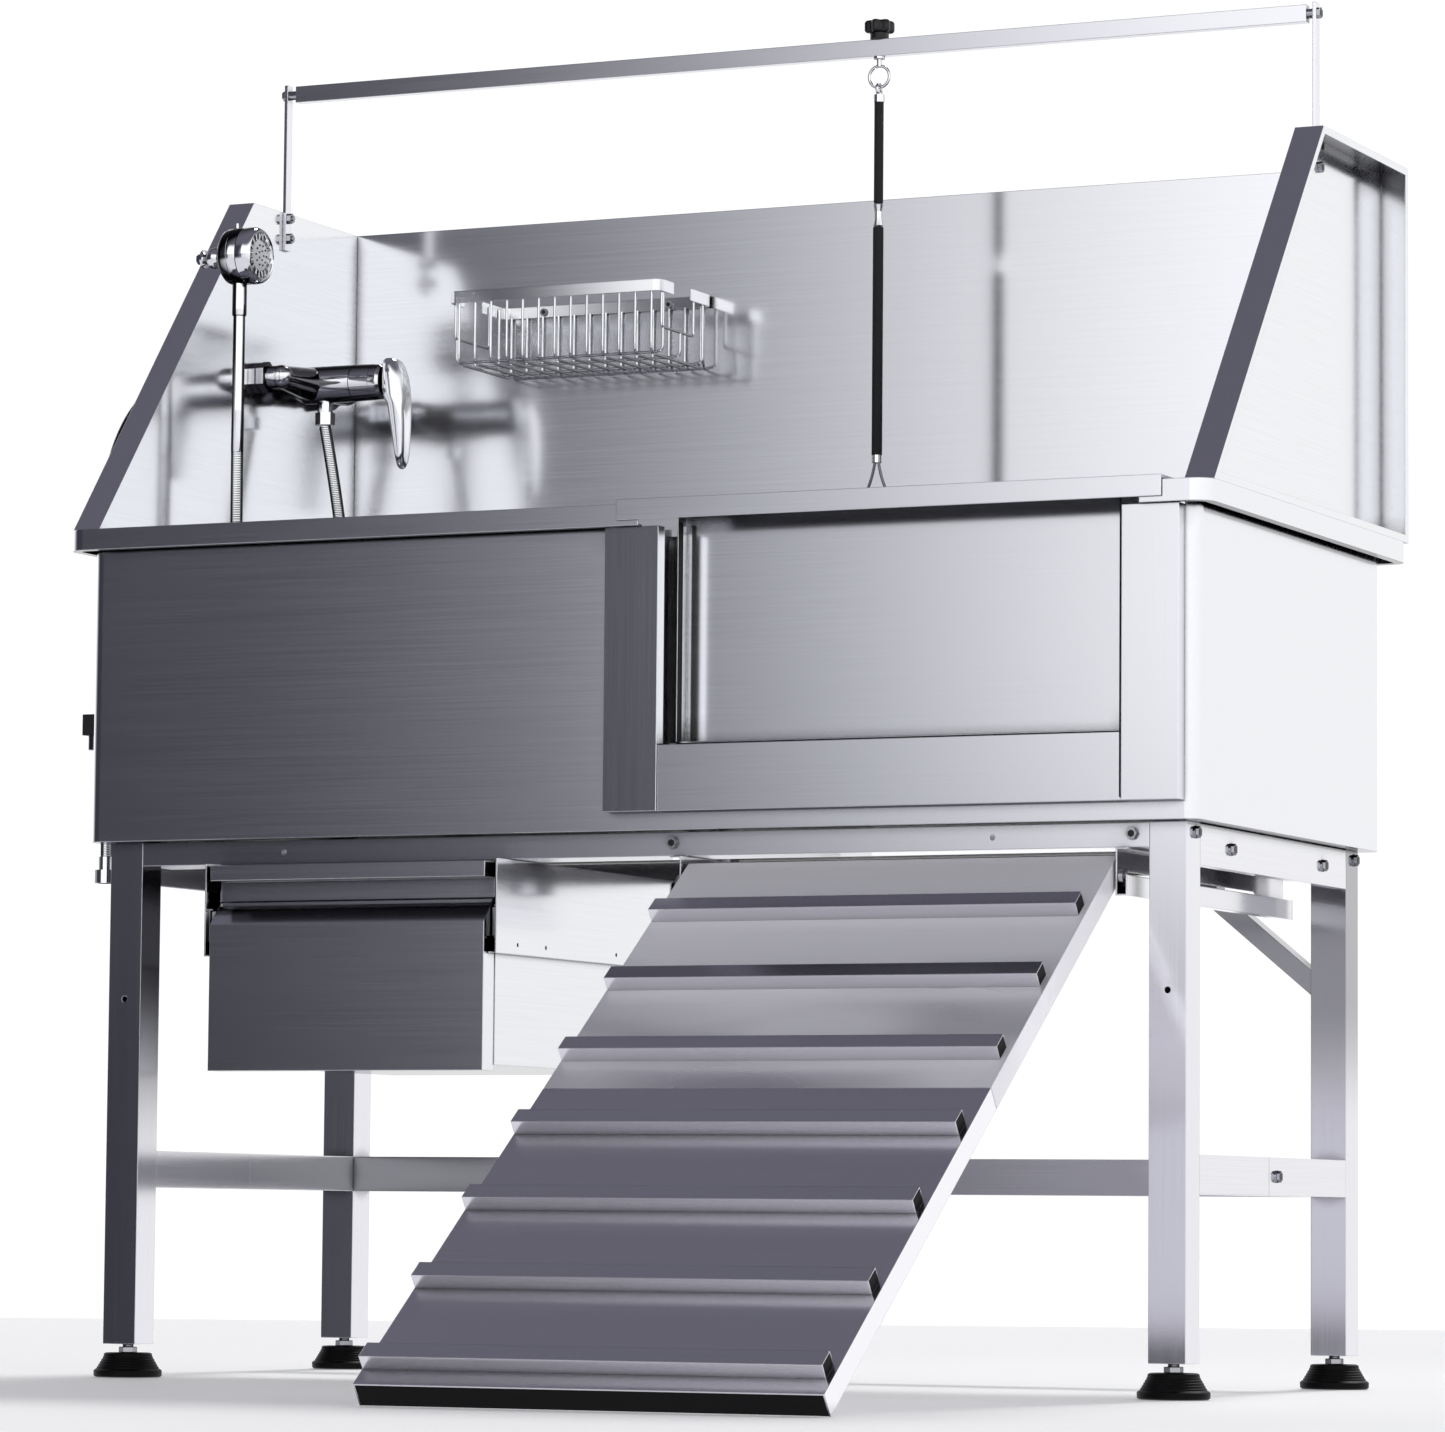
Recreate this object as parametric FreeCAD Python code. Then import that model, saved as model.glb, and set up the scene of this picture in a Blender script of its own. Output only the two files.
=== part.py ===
import FreeCAD, Part
import math
import os

# Pet bathtub on a square-tube frame: basin with a lift-out door, splash panels, pull-out folding
# ramp, drawer, grooming arm with a noose, wire basket, mixer tap and hand shower. Millimetres,
# +Z up, X along the length, +Y towards the back. Work frame: X = 0 at the left end wall, Y = 0 at
# the front wall, Z = 0 on the floor. At the end every solid moves, so that the origin is the middle
# of the footprint.

# ---- driving dimensions ----
TUB_L = 1231.0            # basin, outside length
TUB_D = 547.0             # basin, outside depth
TUB_Z = 554.0             # underside of the basin
RIM_Z0 = 858.0            # underside of the rim
RIM_Z1 = 880.0            # top of the rim
T = 1.5                   # sheet thickness
RIM_OUT = 19.0            # rim overhang at the ends
RIM_FRONT = -22.0         # front face of the rim
RIM_BACK = 582.0          # rear face of the rim
RIM_R = 20.0              # rim corner radius
PANEL_X = 12.0            # inner face of the left splash panel
PANEL_Y = 551.5           # front face of the backsplash
PANEL_TOP = 1277.0        # top of the splash panels
PANEL_W = 30.8            # width of their outward flanges
SLOPE_Y0 = -8.0           # sloped front edge of the side panels, at the rim
SLOPE_Y1 = 311.5          # and at the top
LEG = 38.0                # square tube side
LEG_X = 18.6              # outer face of the legs from the end walls
LEG_Y0 = 18.7             # front face of the front legs
LEG_Y1 = 527.4            # rear face of the rear legs
LEG_Z0 = 34.0             # bottom end of the leg tubes
STUD_R = 6.0              # threaded stud of the levelling feet
POST_W = 59.0             # door posts
POST_X = 605.0            # outer side of the left post
POST_Y = -16.0            # front face of the posts
DOOR_MID = 911.0          # middle of the doorway
SILL_Z0 = 572.0           # bottom of the door frame
SILL_Z1 = 638.0           # top of the sill
CAP_X0 = 620.5            # door cap, left end
CAP_Z0 = 863.5
CAP_Z1 = 884.5
RAIL_Z0 = 529.0           # front and rear rails under the basin
RAIL_Z1 = 553.0
RAIL_END_Z = 513.0        # lower edge of the end rails
STRETCHER_Z = 196.0       # underside of the stretchers
SPLICE_Y = 255.0          # joint in the end stretchers
BOLT_R = 3.2              # clearance hole of an M6 bolt
DRAIN_X, DRAIN_Y = 590.0, 273.5
DRAIN_R = 24.0            # hole in the basin floor
TAIL_R = 24.2             # outlet under the basin
OVER_Y, OVER_Z = 40.0, 680.0
OVER_R = 9.0              # overflow hole
RAMP_X0 = 683.0           # ramp, left side
RAMP_X1 = 1140.0          # ramp, right side
RAMP_ANGLE = 36.0         # slope of the ramp when it stands on the floor
PIVOT_Y = 19.4            # ramp axle
PIVOT_Z = 501.0
DECK_N = 15.0             # top of the deck above the axle, square to the slope
SEAM_S = 379.8            # fold line, distance from the axle along the slope
RAMP_END_S = 839.9        # lower end
RAMP_TOP_S = -14.0        # upper end
FLANGE = 24.0             # depth of the ramp's side flanges
TREAD_W = 20.0            # anti-slip treads, square tube
TREAD_H = 15.0
TREAD_PITCH = 121.0
TREAD_S0 = 82.8           # first tread
TRACK_GAP = 3.0           # ramp side to track web
TRACK_W = 12.0            # width of the track flanges
TRACK_Z0 = 482.0          # underside of the tracks
TRACK_BOLT_X = (667.0, 1157.0)
RAMP_TRAVEL = 380.0       # how far the axle runs back in its slots
AXLE_R = 5.0              # ramp axle
SLOT_R = 5.3              # half width of its slots
KNUCKLE_R = 4.0           # fold hinges
PIN_R = 2.5
KNUCKLES = (760.0, 1000.0)
DRAWER_X0 = 160.0         # drawer front
DRAWER_X1 = 476.0
DRAWER_Y = -20.0
ARM_Y = 382.0             # grooming arm
ARM_Z = 1408.0            # middle of the crossbar
ARM_SCREWS = (1247.6, 1270.0)
BAR_H = 18.0              # crossbar section
BAR_W = 11.0
EYE_X = 728.8             # eye bolt on the crossbar
STRAP_R = 5.0             # noose: strap, covered part and wire
SLEEVE_R = 5.6
NOOSE_D = 3.0
BASKET_X0, BASKET_X1 = 199.0, 457.0
BASKET_Y0, BASKET_Y1 = 417.0, 551.3
BASKET_Z0, BASKET_Z1 = 1101.0, 1183.0
BASKET_SCREWS = (251.0, 405.0)
BASKET_BAND = 13.0        # height of the basket's flat band
WIRE_R = 1.5
MIX_Y = 393.0             # mixer tap: middle of its two unions
MIX_Z = 1083.5
UNION_GAP = 150.0         # centre distance of the unions
OUTLET_X, OUTLET_Z = 60.0, 1052.0
OUTLET_NUT = 13.5         # height of the nut on the outlet
HOUSING_X0, HOUSING_X1 = 26.0, 122.0
LEVER_X = 134.4           # back of the lever
HEAD_X, HEAD_Y, HEAD_Z = 57.0, 203.0, 1198.0    # hand shower: handle axis and head height
HANDLE_Z = 985.0          # lower end of the handset's handle
BALL_X, BALL_R = 26.5, 11.5     # ball of the handset's holder
HOSE_D = 13.5
SUPPLY_D = 13.0
SHANK_R = 10.4            # G1/2 threaded shank
ELBOW_X = PANEL_X - 27.0  # supply elbow behind the left panel
ELBOW_REACH = 24.0

MID_X = TUB_L / 2
parts = {}
fasteners = []


# ---- shape helpers ----
def vec(x, y, z):
    return FreeCAD.Vector(x, y, z)


def box(x0, x1, y0, y1, z0, z1):
    return Part.makeBox(x1 - x0, y1 - y0, z1 - z0, vec(x0, y0, z0))


def rod(start, end, radius):
    a, b = vec(*start), vec(*end)
    return Part.makeCylinder(radius, (b - a).Length, a, b - a)


def prism(points, direction):
    corners = [vec(*p) for p in points]
    return Part.Face(Part.makePolygon(corners + corners[:1])).extrude(vec(*direction))


def hexagon(centre, axis, across_flats, length):
    """Hexagonal prism along +-X, +-Y or +-Z, from its centre point outwards."""
    a = vec(*axis)
    u = vec(a.y, a.z, a.x)
    v = a.cross(u)
    r = across_flats / math.sqrt(3)
    turns = [k * math.pi / 3 for k in range(6)]
    ring = [vec(*centre) + u * (r * math.cos(t)) + v * (r * math.sin(t)) for t in turns]
    return Part.Face(Part.makePolygon(ring + ring[:1])).extrude(a * length)


def rounded_plate(x0, x1, y0, y1, z0, z1, r):
    """Box with its vertical edges rounded."""
    body = box(x0, x1, y0, y1, z0, z1)
    upright = [e for e in body.Edges if abs(e.Vertexes[0].Z - e.Vertexes[1].Z) > 1e-6]
    return body.makeFillet(r, upright)


def fuse(shapes):
    first = shapes[0]
    return first.multiFuse(shapes[1:]).removeSplitter() if len(shapes) > 1 else first


def mirror_x(shape, x_mid=MID_X):
    return shape.mirror(vec(x_mid, 0, 0), vec(1, 0, 0))


def revolve(profile, base, axis):
    """Solid of revolution: profile is a list of (distance along the axis, radius)."""
    a = vec(*axis)
    side = vec(0, 1, 0) if abs(a.y) < 0.5 else vec(0, 0, 1)
    pts = [vec(*base) + a * s + side * r for s, r in profile]
    face = Part.Face(Part.makePolygon(pts + pts[:1]))
    return face.revolve(vec(*base), a, 360)


def add(name, shapes):
    """One node: a single solid, or a group of separate solids."""
    parts[name] = shapes if isinstance(shapes, list) else [shapes]


def square_tube(x0, x1, y0, y1, z0, z1, axis, wall=T):
    """Tube with square ends, open along the given axis."""
    grow = [(wall, wall), (wall, wall), (wall, wall)]
    grow["XYZ".index(axis)] = (-1.0, -1.0)
    (ax, bx), (ay, by), (az, bz) = grow
    return box(x0, x1, y0, y1, z0, z1).cut(box(x0 + ax, x1 - bx, y0 + ay, y1 - by, z0 + az, z1 - bz))


def tube_route(name, points, diameter):
    """Round tube along straight runs joined by tangent arcs; prints its radii and length."""
    pts = [vec(*p) for p in points]
    edges, at, radii = [], pts[0], []
    for a, b, c in zip(pts, pts[1:], pts[2:]):
        u, w = (b - a), (c - b)
        half = u.getAngle(w) / 2
        cut = 0.45 * min(u.Length, w.Length)
        radii.append(cut / math.tan(half))
        start, end = b - u.normalize() * cut, b + w.normalize() * cut
        bisect = (w - u).normalize()
        mid = b + bisect * (radii[-1] / math.cos(half) - radii[-1])
        edges += [Part.LineSegment(at, start).toShape(), Part.Arc(start, mid, end).toShape()]
        at = end
    edges.append(Part.LineSegment(at, pts[-1]).toShape())
    path = Part.Wire(edges)
    circle = Part.Wire([Part.Circle(pts[0], pts[1] - pts[0], diameter / 2).toShape()])
    solid = path.makePipeShell([circle], True, False)
    expected = math.pi * diameter ** 2 / 4 * path.Length
    print(name, "length %.0f" % path.Length, "volume ratio %.4f" % (solid.Volume / expected),
          "radii", ["%.0f" % r for r in radii])
    add(name, solid)


# ---- basin and rim ----
def basin():
    shell = rounded_plate(0, TUB_L, 0, TUB_D, TUB_Z, RIM_Z1 - T, 14)
    shell = shell.cut(rounded_plate(T, TUB_L - T, T, TUB_D - T, TUB_Z + T, RIM_Z1 + 5, 14 - T))
    doorway = box(POST_X, 2 * DOOR_MID - POST_X, -5, 10, SILL_Z1 - 18, RIM_Z1 + 5)
    drain_hole = rod((DRAIN_X, DRAIN_Y, TUB_Z - 5), (DRAIN_X, DRAIN_Y, TUB_Z + 5), DRAIN_R)
    overflow_hole = rod((-5, OVER_Y, OVER_Z), (5, OVER_Y, OVER_Z), OVER_R)
    add("tub_shell", shell.cut([doorway, drain_hole, overflow_hole]))

    x0, x1 = -RIM_OUT, TUB_L + RIM_OUT
    rim = rounded_plate(x0, x1, RIM_FRONT, RIM_BACK, RIM_Z0, RIM_Z1, RIM_R)
    hollow = rounded_plate(x0 + T, x1 - T, RIM_FRONT + T, RIM_BACK - T, RIM_Z0 + T, RIM_Z1 - T,
                           RIM_R - T)
    lip = rounded_plate(x0 + 10, x1 - 10, RIM_FRONT + 10, RIM_BACK - 10, RIM_Z0 - 1,
                        RIM_Z0 + T + 1, RIM_R - 10)
    mouth = box(PANEL_X, TUB_L - PANEL_X, 2.0, TUB_D - T, RIM_Z1 - 5, RIM_Z1 + 1)
    gap_x = POST_X + 39
    gap = box(gap_x, 2 * DOOR_MID - gap_x, RIM_FRONT - 1, 4, RIM_Z0 - 1, RIM_Z1 + 1)
    add("top_rim", rim.cut([hollow, lip, mouth, gap]))


def drainage():
    strainer = revolve([(0, 0), (0, 42), (1.6, 42), (3.4, 37), (3.4, 0)],
                       (DRAIN_X, DRAIN_Y, TUB_Z + T), (0, 0, 1))
    slots = []
    for ring, count in ((8.0, 4), (17.0, 9)):
        for k in range(count):
            a = 2 * math.pi * k / count
            x, y = DRAIN_X + ring * math.cos(a), DRAIN_Y + ring * math.sin(a)
            slots.append(rod((x, y, TUB_Z), (x, y, TUB_Z + 9), 3.0))
    outside = revolve([(0, 23.5), (0, 40), (-3, 40), (-3, 30), (-18, 30), (-18, TAIL_R),
                       (-46, TAIL_R), (-46, 22), (0, 22)], (DRAIN_X, DRAIN_Y, TUB_Z), (0, 0, 1))
    add("drain_fitting", [strainer.cut(slots), outside])
    flange = rod((-0.2, OVER_Y, OVER_Z), (-4, OVER_Y, OVER_Z), 14.0)
    block = box(-26, -3, OVER_Y - 10, OVER_Y + 10, OVER_Z - 11, OVER_Z + 11)
    spout = rod((-16, OVER_Y, OVER_Z - 10), (-16, OVER_Y, OVER_Z - 26), 7.0)
    add("overflow_elbow", fuse([flange, block, spout]))


# ---- splash panels ----
def side_panel():
    """Left panel: sheet with outward flanges on all edges and a small return lip."""
    outer = [(SLOPE_Y0, RIM_Z1), (SLOPE_Y1, PANEL_TOP), (RIM_BACK, PANEL_TOP), (RIM_BACK, RIM_Z1)]
    slope = math.atan2(PANEL_TOP - RIM_Z1, SLOPE_Y1 - SLOPE_Y0)

    def inset(d):
        shift0 = d / math.sin(slope) + d / math.tan(slope)
        shift1 = d / math.sin(slope) - d / math.tan(slope)
        return [(SLOPE_Y0 + shift0, RIM_Z1 + d), (SLOPE_Y1 + shift1, PANEL_TOP - d),
                (RIM_BACK - d, PANEL_TOP - d), (RIM_BACK - d, RIM_Z1 + d)]

    def plate(outline, x0, x1):
        return prism([(x0, y, z) for y, z in outline], (x1 - x0, 0, 0))

    edge_x = PANEL_X - PANEL_W
    pan = plate(outer, edge_x, PANEL_X).cut(plate(inset(T), edge_x + T, PANEL_X - T))
    pan = pan.cut(plate(inset(8), edge_x - 1, edge_x + T + 1))
    return pan


def splash_panels():
    left = side_panel()
    holes = [rod((0, y, z), (PANEL_X + 5, y, z), 11.0) for y, z in union_points()]
    holes.append(rod((0, HEAD_Y, HEAD_Z), (PANEL_X + 5, HEAD_Y, HEAD_Z), BOLT_R))
    screws = [rod((0, ARM_Y, z), (PANEL_X + 5, ARM_Y, z), BOLT_R) for z in ARM_SCREWS]
    add("splash_panel_left", left.cut(holes + screws))
    add("splash_panel_right", mirror_x(left.cut(screws)))

    x0, x1 = PANEL_X + 0.2, TUB_L - PANEL_X - 0.2
    pan = box(x0, x1, PANEL_Y, RIM_BACK, RIM_Z1, PANEL_TOP)
    pan = pan.cut(box(x0 + T, x1 - T, PANEL_Y + T, RIM_BACK - T, RIM_Z1 + T, PANEL_TOP - T))
    pan = pan.cut(box(x0 + 8, x1 - 8, RIM_BACK - T - 1, RIM_BACK + 1, RIM_Z1 + 8, PANEL_TOP - 8))
    screw_z = BASKET_Z1 - 7
    holes = [rod((x, PANEL_Y - 5, screw_z), (x, PANEL_Y + 5, screw_z), 2.2) for x in BASKET_SCREWS]
    add("backsplash_panel", pan.cut(holes))


# ---- door and its frame ----
def door_post():
    x0, x1, y0 = POST_X, POST_X + POST_W, POST_Y
    z0, z1 = SILL_Z0, RIM_Z0 - 0.5
    walls = [box(x0, x1, y0, y0 + T, z0, z1), box(x0, x0 + T, y0, 24, z0, z1),
             box(x1 - T, x1, y0, -1, z0, z1), box(x1 - 19, x1, -1 - T, -1, z0, z1),
             box(x0, x1 - 4, 24 - T, 24, z0, z1), box(x0, x1, y0, -0.2, z0, z0 + T)]
    return fuse(walls).cut(box(x0 - 5, x1 + 5, -0.2, 40, z0 - 1, SILL_Z1 - 18))


def door():
    post = door_post()
    add("door_post_left", post)
    add("door_post_right", mirror_x(post, DOOR_MID))
    x0, x1 = POST_X + POST_W + 0.3, 2 * DOOR_MID - POST_X - POST_W - 0.3
    y0 = POST_Y + 2
    add("door_sill", fuse([
        box(x0, x1, y0, y0 + T, SILL_Z0, SILL_Z1), box(x0, x1, y0, -0.2, SILL_Z0, SILL_Z0 + T),
        box(x0, x1, y0, 46, SILL_Z1 - T, SILL_Z1), box(x0, x1, 46 - T, 46, SILL_Z1 - T, SILL_Z1 + 10),
        box(x0, x1, T + 0.2, 2 * T + 0.2, SILL_Z1 - 40, SILL_Z1 - T)]))

    px0, px1 = x0 + 3.7, x1 - 3.7
    z0, z1 = SILL_Z1 + 4, CAP_Z1 - T
    tongue = px0 - 22
    side = [box(px0, px0 + T, 19.5, 42.5, z0, RIM_Z0 - 3),
            box(tongue, px0 + T, 19.5, 19.5 + T, z0, RIM_Z0 - 8),
            box(tongue, tongue + T, 1.0, 19.5 + T, z0, RIM_Z0 - 8)]
    panel = [box(px0, px1, 41, 41 + T, z0, z1), box(px0, px1, 19.5, 42.5, z0, z0 + T)]
    panel += side + [mirror_x(s, DOOR_MID) for s in side]
    add("door_panel", fuse(panel))
    cx0, cx1 = CAP_X0, 2 * DOOR_MID - CAP_X0
    cy0 = RIM_FRONT - 2.5
    add("door_cap", fuse([
        box(cx0, cx1, cy0, 50, CAP_Z1 - T, CAP_Z1), box(cx0, cx1, cy0, cy0 + T, CAP_Z0, CAP_Z1),
        box(cx0 + 35, cx1 - 35, 50 - T, 50, CAP_Z0, CAP_Z1),
        box(cx0, cx0 + T, cy0, 50, RIM_Z1 + 1, CAP_Z1), box(cx1 - T, cx1, cy0, 50, RIM_Z1 + 1, CAP_Z1)]))
    add("door_seal", box(px0, px1, 21, 42, SILL_Z1 + 0.3, SILL_Z1 + 4))


# ---- frame ----
def frame():
    xs = {"left": LEG_X, "right": TUB_L - LEG_X - LEG}
    ys = {"front": LEG_Y0, "rear": LEG_Y1 - LEG}
    for depth, y in ys.items():
        for side, x in xs.items():
            tube = square_tube(x, x + LEG, y, y + LEG, LEG_Z0, TUB_Z - 0.2, "Z")
            plug = box(x + T, x + LEG - T, y + T, y + LEG - T, LEG_Z0, LEG_Z0 + 4)
            cx, cy = x + LEG / 2, y + LEG / 2
            bore = rod((cx, cy, LEG_Z0 - 1), (cx, cy, LEG_Z0 + 6), STUD_R + 0.06)
            face = y if depth == "front" else y + LEG
            hole = rod((cx, face - 3, 391), (cx, face + 3, 391), BOLT_R)
            add("leg_%s_%s" % (depth, side), fuse([tube, plug]).cut([bore, hole]))

    x0, x1 = LEG_X + LEG + 0.2, TUB_L - LEG_X - LEG - 0.2
    channel = [box(x0, x1, LEG_Y0, LEG_Y0 + T, RAIL_Z0, RAIL_Z1),
               box(x0, x1, LEG_Y0, LEG_Y0 + 60, RAIL_Z0, RAIL_Z0 + T),
               box(x0, x1, LEG_Y0, LEG_Y0 + 40, RAIL_Z1 - T, RAIL_Z1)]
    front = fuse(channel)
    holes = [rod((x, LEG_Y0 - 1, 541), (x, LEG_Y0 + 5, 541), 2.6) for x in (225, 1011)]
    add("front_rail", front.cut(holes))
    y_mid = (LEG_Y0 + LEG_Y1) / 2
    add("rear_rail", front.mirror(vec(0, y_mid, 0), vec(0, 1, 0)))

    ya, yb = LEG_Y0 + LEG + 0.2, LEG_Y1 - LEG - 0.2
    end = fuse([box(LEG_X, LEG_X + T, ya, yb, RAIL_END_Z, RAIL_Z1),
                box(LEG_X, LEG_X + 25, ya, yb, RAIL_Z1 - T, RAIL_Z1),
                box(LEG_X, LEG_X + 12, ya, yb, RAIL_END_Z, RAIL_END_Z + T)])
    add("end_rails", [end, mirror_x(end)])

    z0, inset = STRETCHER_Z, T + 0.2
    stretchers = [square_tube(LEG_X, LEG_X + LEG, ya, SPLICE_Y, z0, z0 + LEG, "Y"),
                  square_tube(LEG_X, LEG_X + LEG, SPLICE_Y + 0.5, yb, z0, z0 + LEG, "Y"),
                  square_tube(LEG_X + inset, LEG_X + LEG - inset, SPLICE_Y - 60, SPLICE_Y + 60,
                              z0 + inset, z0 + LEG - inset, "Y")]
    add("end_stretchers", stretchers + [mirror_x(s) for s in stretchers])
    add("rear_stretcher", square_tube(x0, x1, LEG_Y1 - LEG, LEG_Y1, z0, z0 + LEG, "X"))

    brace_y = LEG_Y1 - LEG
    brace = prism([(x1 - 0.3, brace_y + 2, 404), (x1 - 0.3, brace_y + 2, 430), (x1 - 104, brace_y + 2, 516),
                   (x1 - 104, brace_y + 2, RAIL_Z0 - 0.3), (x1 - 150, brace_y + 2, RAIL_Z0 - 0.3)],
                  (0, 25, 0))
    hollow = prism([(x1 - 6, brace_y + 4, 414), (x1 - 6, brace_y + 4, 428),
                    (x1 - 106, brace_y + 4, 511), (x1 - 132, brace_y + 4, 511)], (0, 30, 0))
    brace = brace.cut(hollow)
    add("rear_braces", [brace, mirror_x(brace)])


def foot(name, x, y):
    """Levelling foot: moulded pad and threaded stud."""
    bore = STUD_R + 0.05
    pad = revolve([(0, 0), (0, 34), (1.5, 35.5), (9, 35.5), (10, 34), (17, 26), (24, 25), (25, 24),
                   (25, bore), (14, bore), (14, 0)], (x, y, 0), (0, 0, 1))
    stud = rod((x, y, 14.2), (x, y, 80), STUD_R)
    add("foot_" + name, [pad, stud])


def feet():
    for depth, y in (("front", LEG_Y0 + LEG / 2), ("rear", LEG_Y1 - LEG / 2)):
        for side, x in (("left", LEG_X + LEG / 2), ("right", TUB_L - LEG_X - LEG / 2)):
            foot("%s_%s" % (depth, side), x, y)


def bolt(at, axis, washer_r=6.2, flats=10.0, height=4.5):
    """Flanged hexagon head standing on a face, pointing along axis."""
    a = vec(*axis)
    base = vec(*at) + a * 0.05
    disc = Part.makeCylinder(washer_r, 1.4, base, a)
    tip = base + a * 1.3
    return fuse([disc, hexagon((tip.x, tip.y, tip.z), axis, flats, height - 1.3)])


def frame_bolts():
    bolts = [bolt((x, LEG_Y0, 542), (0, -1, 0)) for x in TRACK_BOLT_X]
    for y, z in ((LEG_Y0 + 26, 544), (144.5, 533), (417, 533), (LEG_Y1 - 12, 544), (278, 215)):
        bolts.append(bolt((TUB_L - LEG_X, y, z), (1, 0, 0)))
        bolts.append(bolt((LEG_X, y, z), (-1, 0, 0)))
    fasteners.extend(bolts)


# ---- ramp ----
COS, SIN = math.cos(math.radians(RAMP_ANGLE)), math.sin(math.radians(RAMP_ANGLE))
FOLD_N = DECK_N - FLANGE - 4.5      # fold axis, just under the flanges


def ramp_point(x, s, n):
    """s runs down the slope from the axle, n is square to the deck."""
    return (x, PIVOT_Y - s * COS - n * SIN, PIVOT_Z - s * SIN + n * COS)


def ramp_box(x0, x1, s0, s1, n0, n1):
    corners = [ramp_point(x0, s, n) for s, n in ((s0, n0), (s1, n0), (s1, n1), (s0, n1))]
    return prism(corners, (x1 - x0, 0, 0))


def ramp_rod(x0, x1, s, n, r):
    return rod(ramp_point(x0, s, n), ramp_point(x1, s, n), r)


def deck(s0, s1, wall_s, sign):
    """Sheet tray with down-turned sides, a cross wall at the fold and the hinge knuckles welded to it."""
    n1 = DECK_N
    pieces = [ramp_box(RAMP_X0, RAMP_X1, s0, s1, n1 - T, n1),
              ramp_box(RAMP_X0, RAMP_X0 + T, s0, s1, n1 - FLANGE, n1),
              ramp_box(RAMP_X1 - T, RAMP_X1, s0, s1, n1 - FLANGE, n1),
              ramp_box(RAMP_X0, RAMP_X1, wall_s, wall_s + T, n1 - FLANGE, n1)]
    segments = ((0, 14), (28, 42), (56, 70)) if sign < 0 else ((14.4, 27.6), (42.4, 55.6))
    for k in KNUCKLES:
        for a, b in segments:
            pieces.append(ramp_rod(k + a, k + b, SEAM_S, FOLD_N, KNUCKLE_R))
            pieces.append(ramp_box(k + a, k + b, wall_s, wall_s + T, FOLD_N, n1 - FLANGE + 3))
    bores = [ramp_rod(k - 1, k + 71, SEAM_S, FOLD_N, PIN_R + 0.05) for k in KNUCKLES]
    return fuse(pieces).cut(bores)


def tread(s):
    s0, s1, n0, n1 = s - TREAD_W / 2, s + TREAD_W / 2, DECK_N, DECK_N + TREAD_H
    outer = ramp_box(RAMP_X0 + 1, RAMP_X1 - 6, s0, s1, n0 + 0.05, n1)
    return outer.cut(ramp_box(RAMP_X0, RAMP_X1, s0 + T, s1 - T, n0 + T, n1 - T))


def ramp():
    upper = deck(RAMP_TOP_S, SEAM_S - 0.5, SEAM_S - 0.5 - T, -1)
    upper = upper.cut(ramp_rod(RAMP_X0 - 1, RAMP_X1 + 1, 0, 0, AXLE_R + 0.08))
    add("ramp_upper_deck", upper)
    add("ramp_lower_deck", deck(SEAM_S + 0.5, RAMP_END_S, SEAM_S + 0.5, 1))
    add("ramp_treads_upper", [tread(TREAD_S0 + k * TREAD_PITCH) for k in range(3)])
    add("ramp_treads_lower", [tread(TREAD_S0 + k * TREAD_PITCH) for k in range(3, 7)])
    add("fold_hinge_pins", [ramp_rod(k - 2, k + 72, SEAM_S, FOLD_N, PIN_R) for k in KNUCKLES])

    # rubber end strip: fills the tray's open end and stands on the floor
    n_floor = (-PIVOT_Z + RAMP_END_S * SIN) / COS
    strip = ramp_box(RAMP_X0 + T + 0.1, RAMP_X1 - T - 0.1, RAMP_END_S - 12, RAMP_END_S - 0.5,
                     n_floor, DECK_N - T - 0.1)
    floor_cut = box(RAMP_X0 - 5, RAMP_X1 + 5, -900, 0, -60, 0)
    add("ramp_foot_strip", strip.cut(floor_cut))

    y0, y1, z0, z1 = 10.0, LEG_Y1 - LEG - 1, TRACK_Z0, RAIL_Z0 - 0.5
    web_x = RAMP_X1 + TRACK_GAP
    xa, xb, back_y = web_x - 1, web_x + T + 1, PIVOT_Y + RAMP_TRAVEL
    slot = fuse([box(xa, xb, PIVOT_Y, back_y, PIVOT_Z - SLOT_R, PIVOT_Z + SLOT_R),
                 rod((xa, PIVOT_Y, PIVOT_Z), (xb, PIVOT_Y, PIVOT_Z), SLOT_R),
                 rod((xa, back_y, PIVOT_Z), (xb, back_y, PIVOT_Z), SLOT_R)])
    lip_x = web_x + TRACK_W
    track = fuse([box(web_x, web_x + T, y0, y1, z0, z1), box(web_x, lip_x, y0, y1, z1 - T, z1),
                  box(web_x, lip_x, y0, y1, z0, z0 + T), box(lip_x - T, lip_x, y0, y1, z0, z0 + 20)])
    right = track.cut(slot)
    ramp_mid = (RAMP_X0 + RAMP_X1) / 2
    add("ramp_tracks", [mirror_x(right, ramp_mid), right])

    reach = TRACK_GAP + 7.5
    axle = rod((RAMP_X0 - reach, PIVOT_Y, PIVOT_Z), (RAMP_X1 + reach, PIVOT_Y, PIVOT_Z), AXLE_R)
    collar = revolve([(0, AXLE_R), (0, 8.5), (4.5, 8.5), (4.5, AXLE_R)],
                     (web_x + T + 0.5, PIVOT_Y, PIVOT_Z), (1, 0, 0))
    add("ramp_axle", [axle, mirror_x(collar, ramp_mid), collar])


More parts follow.
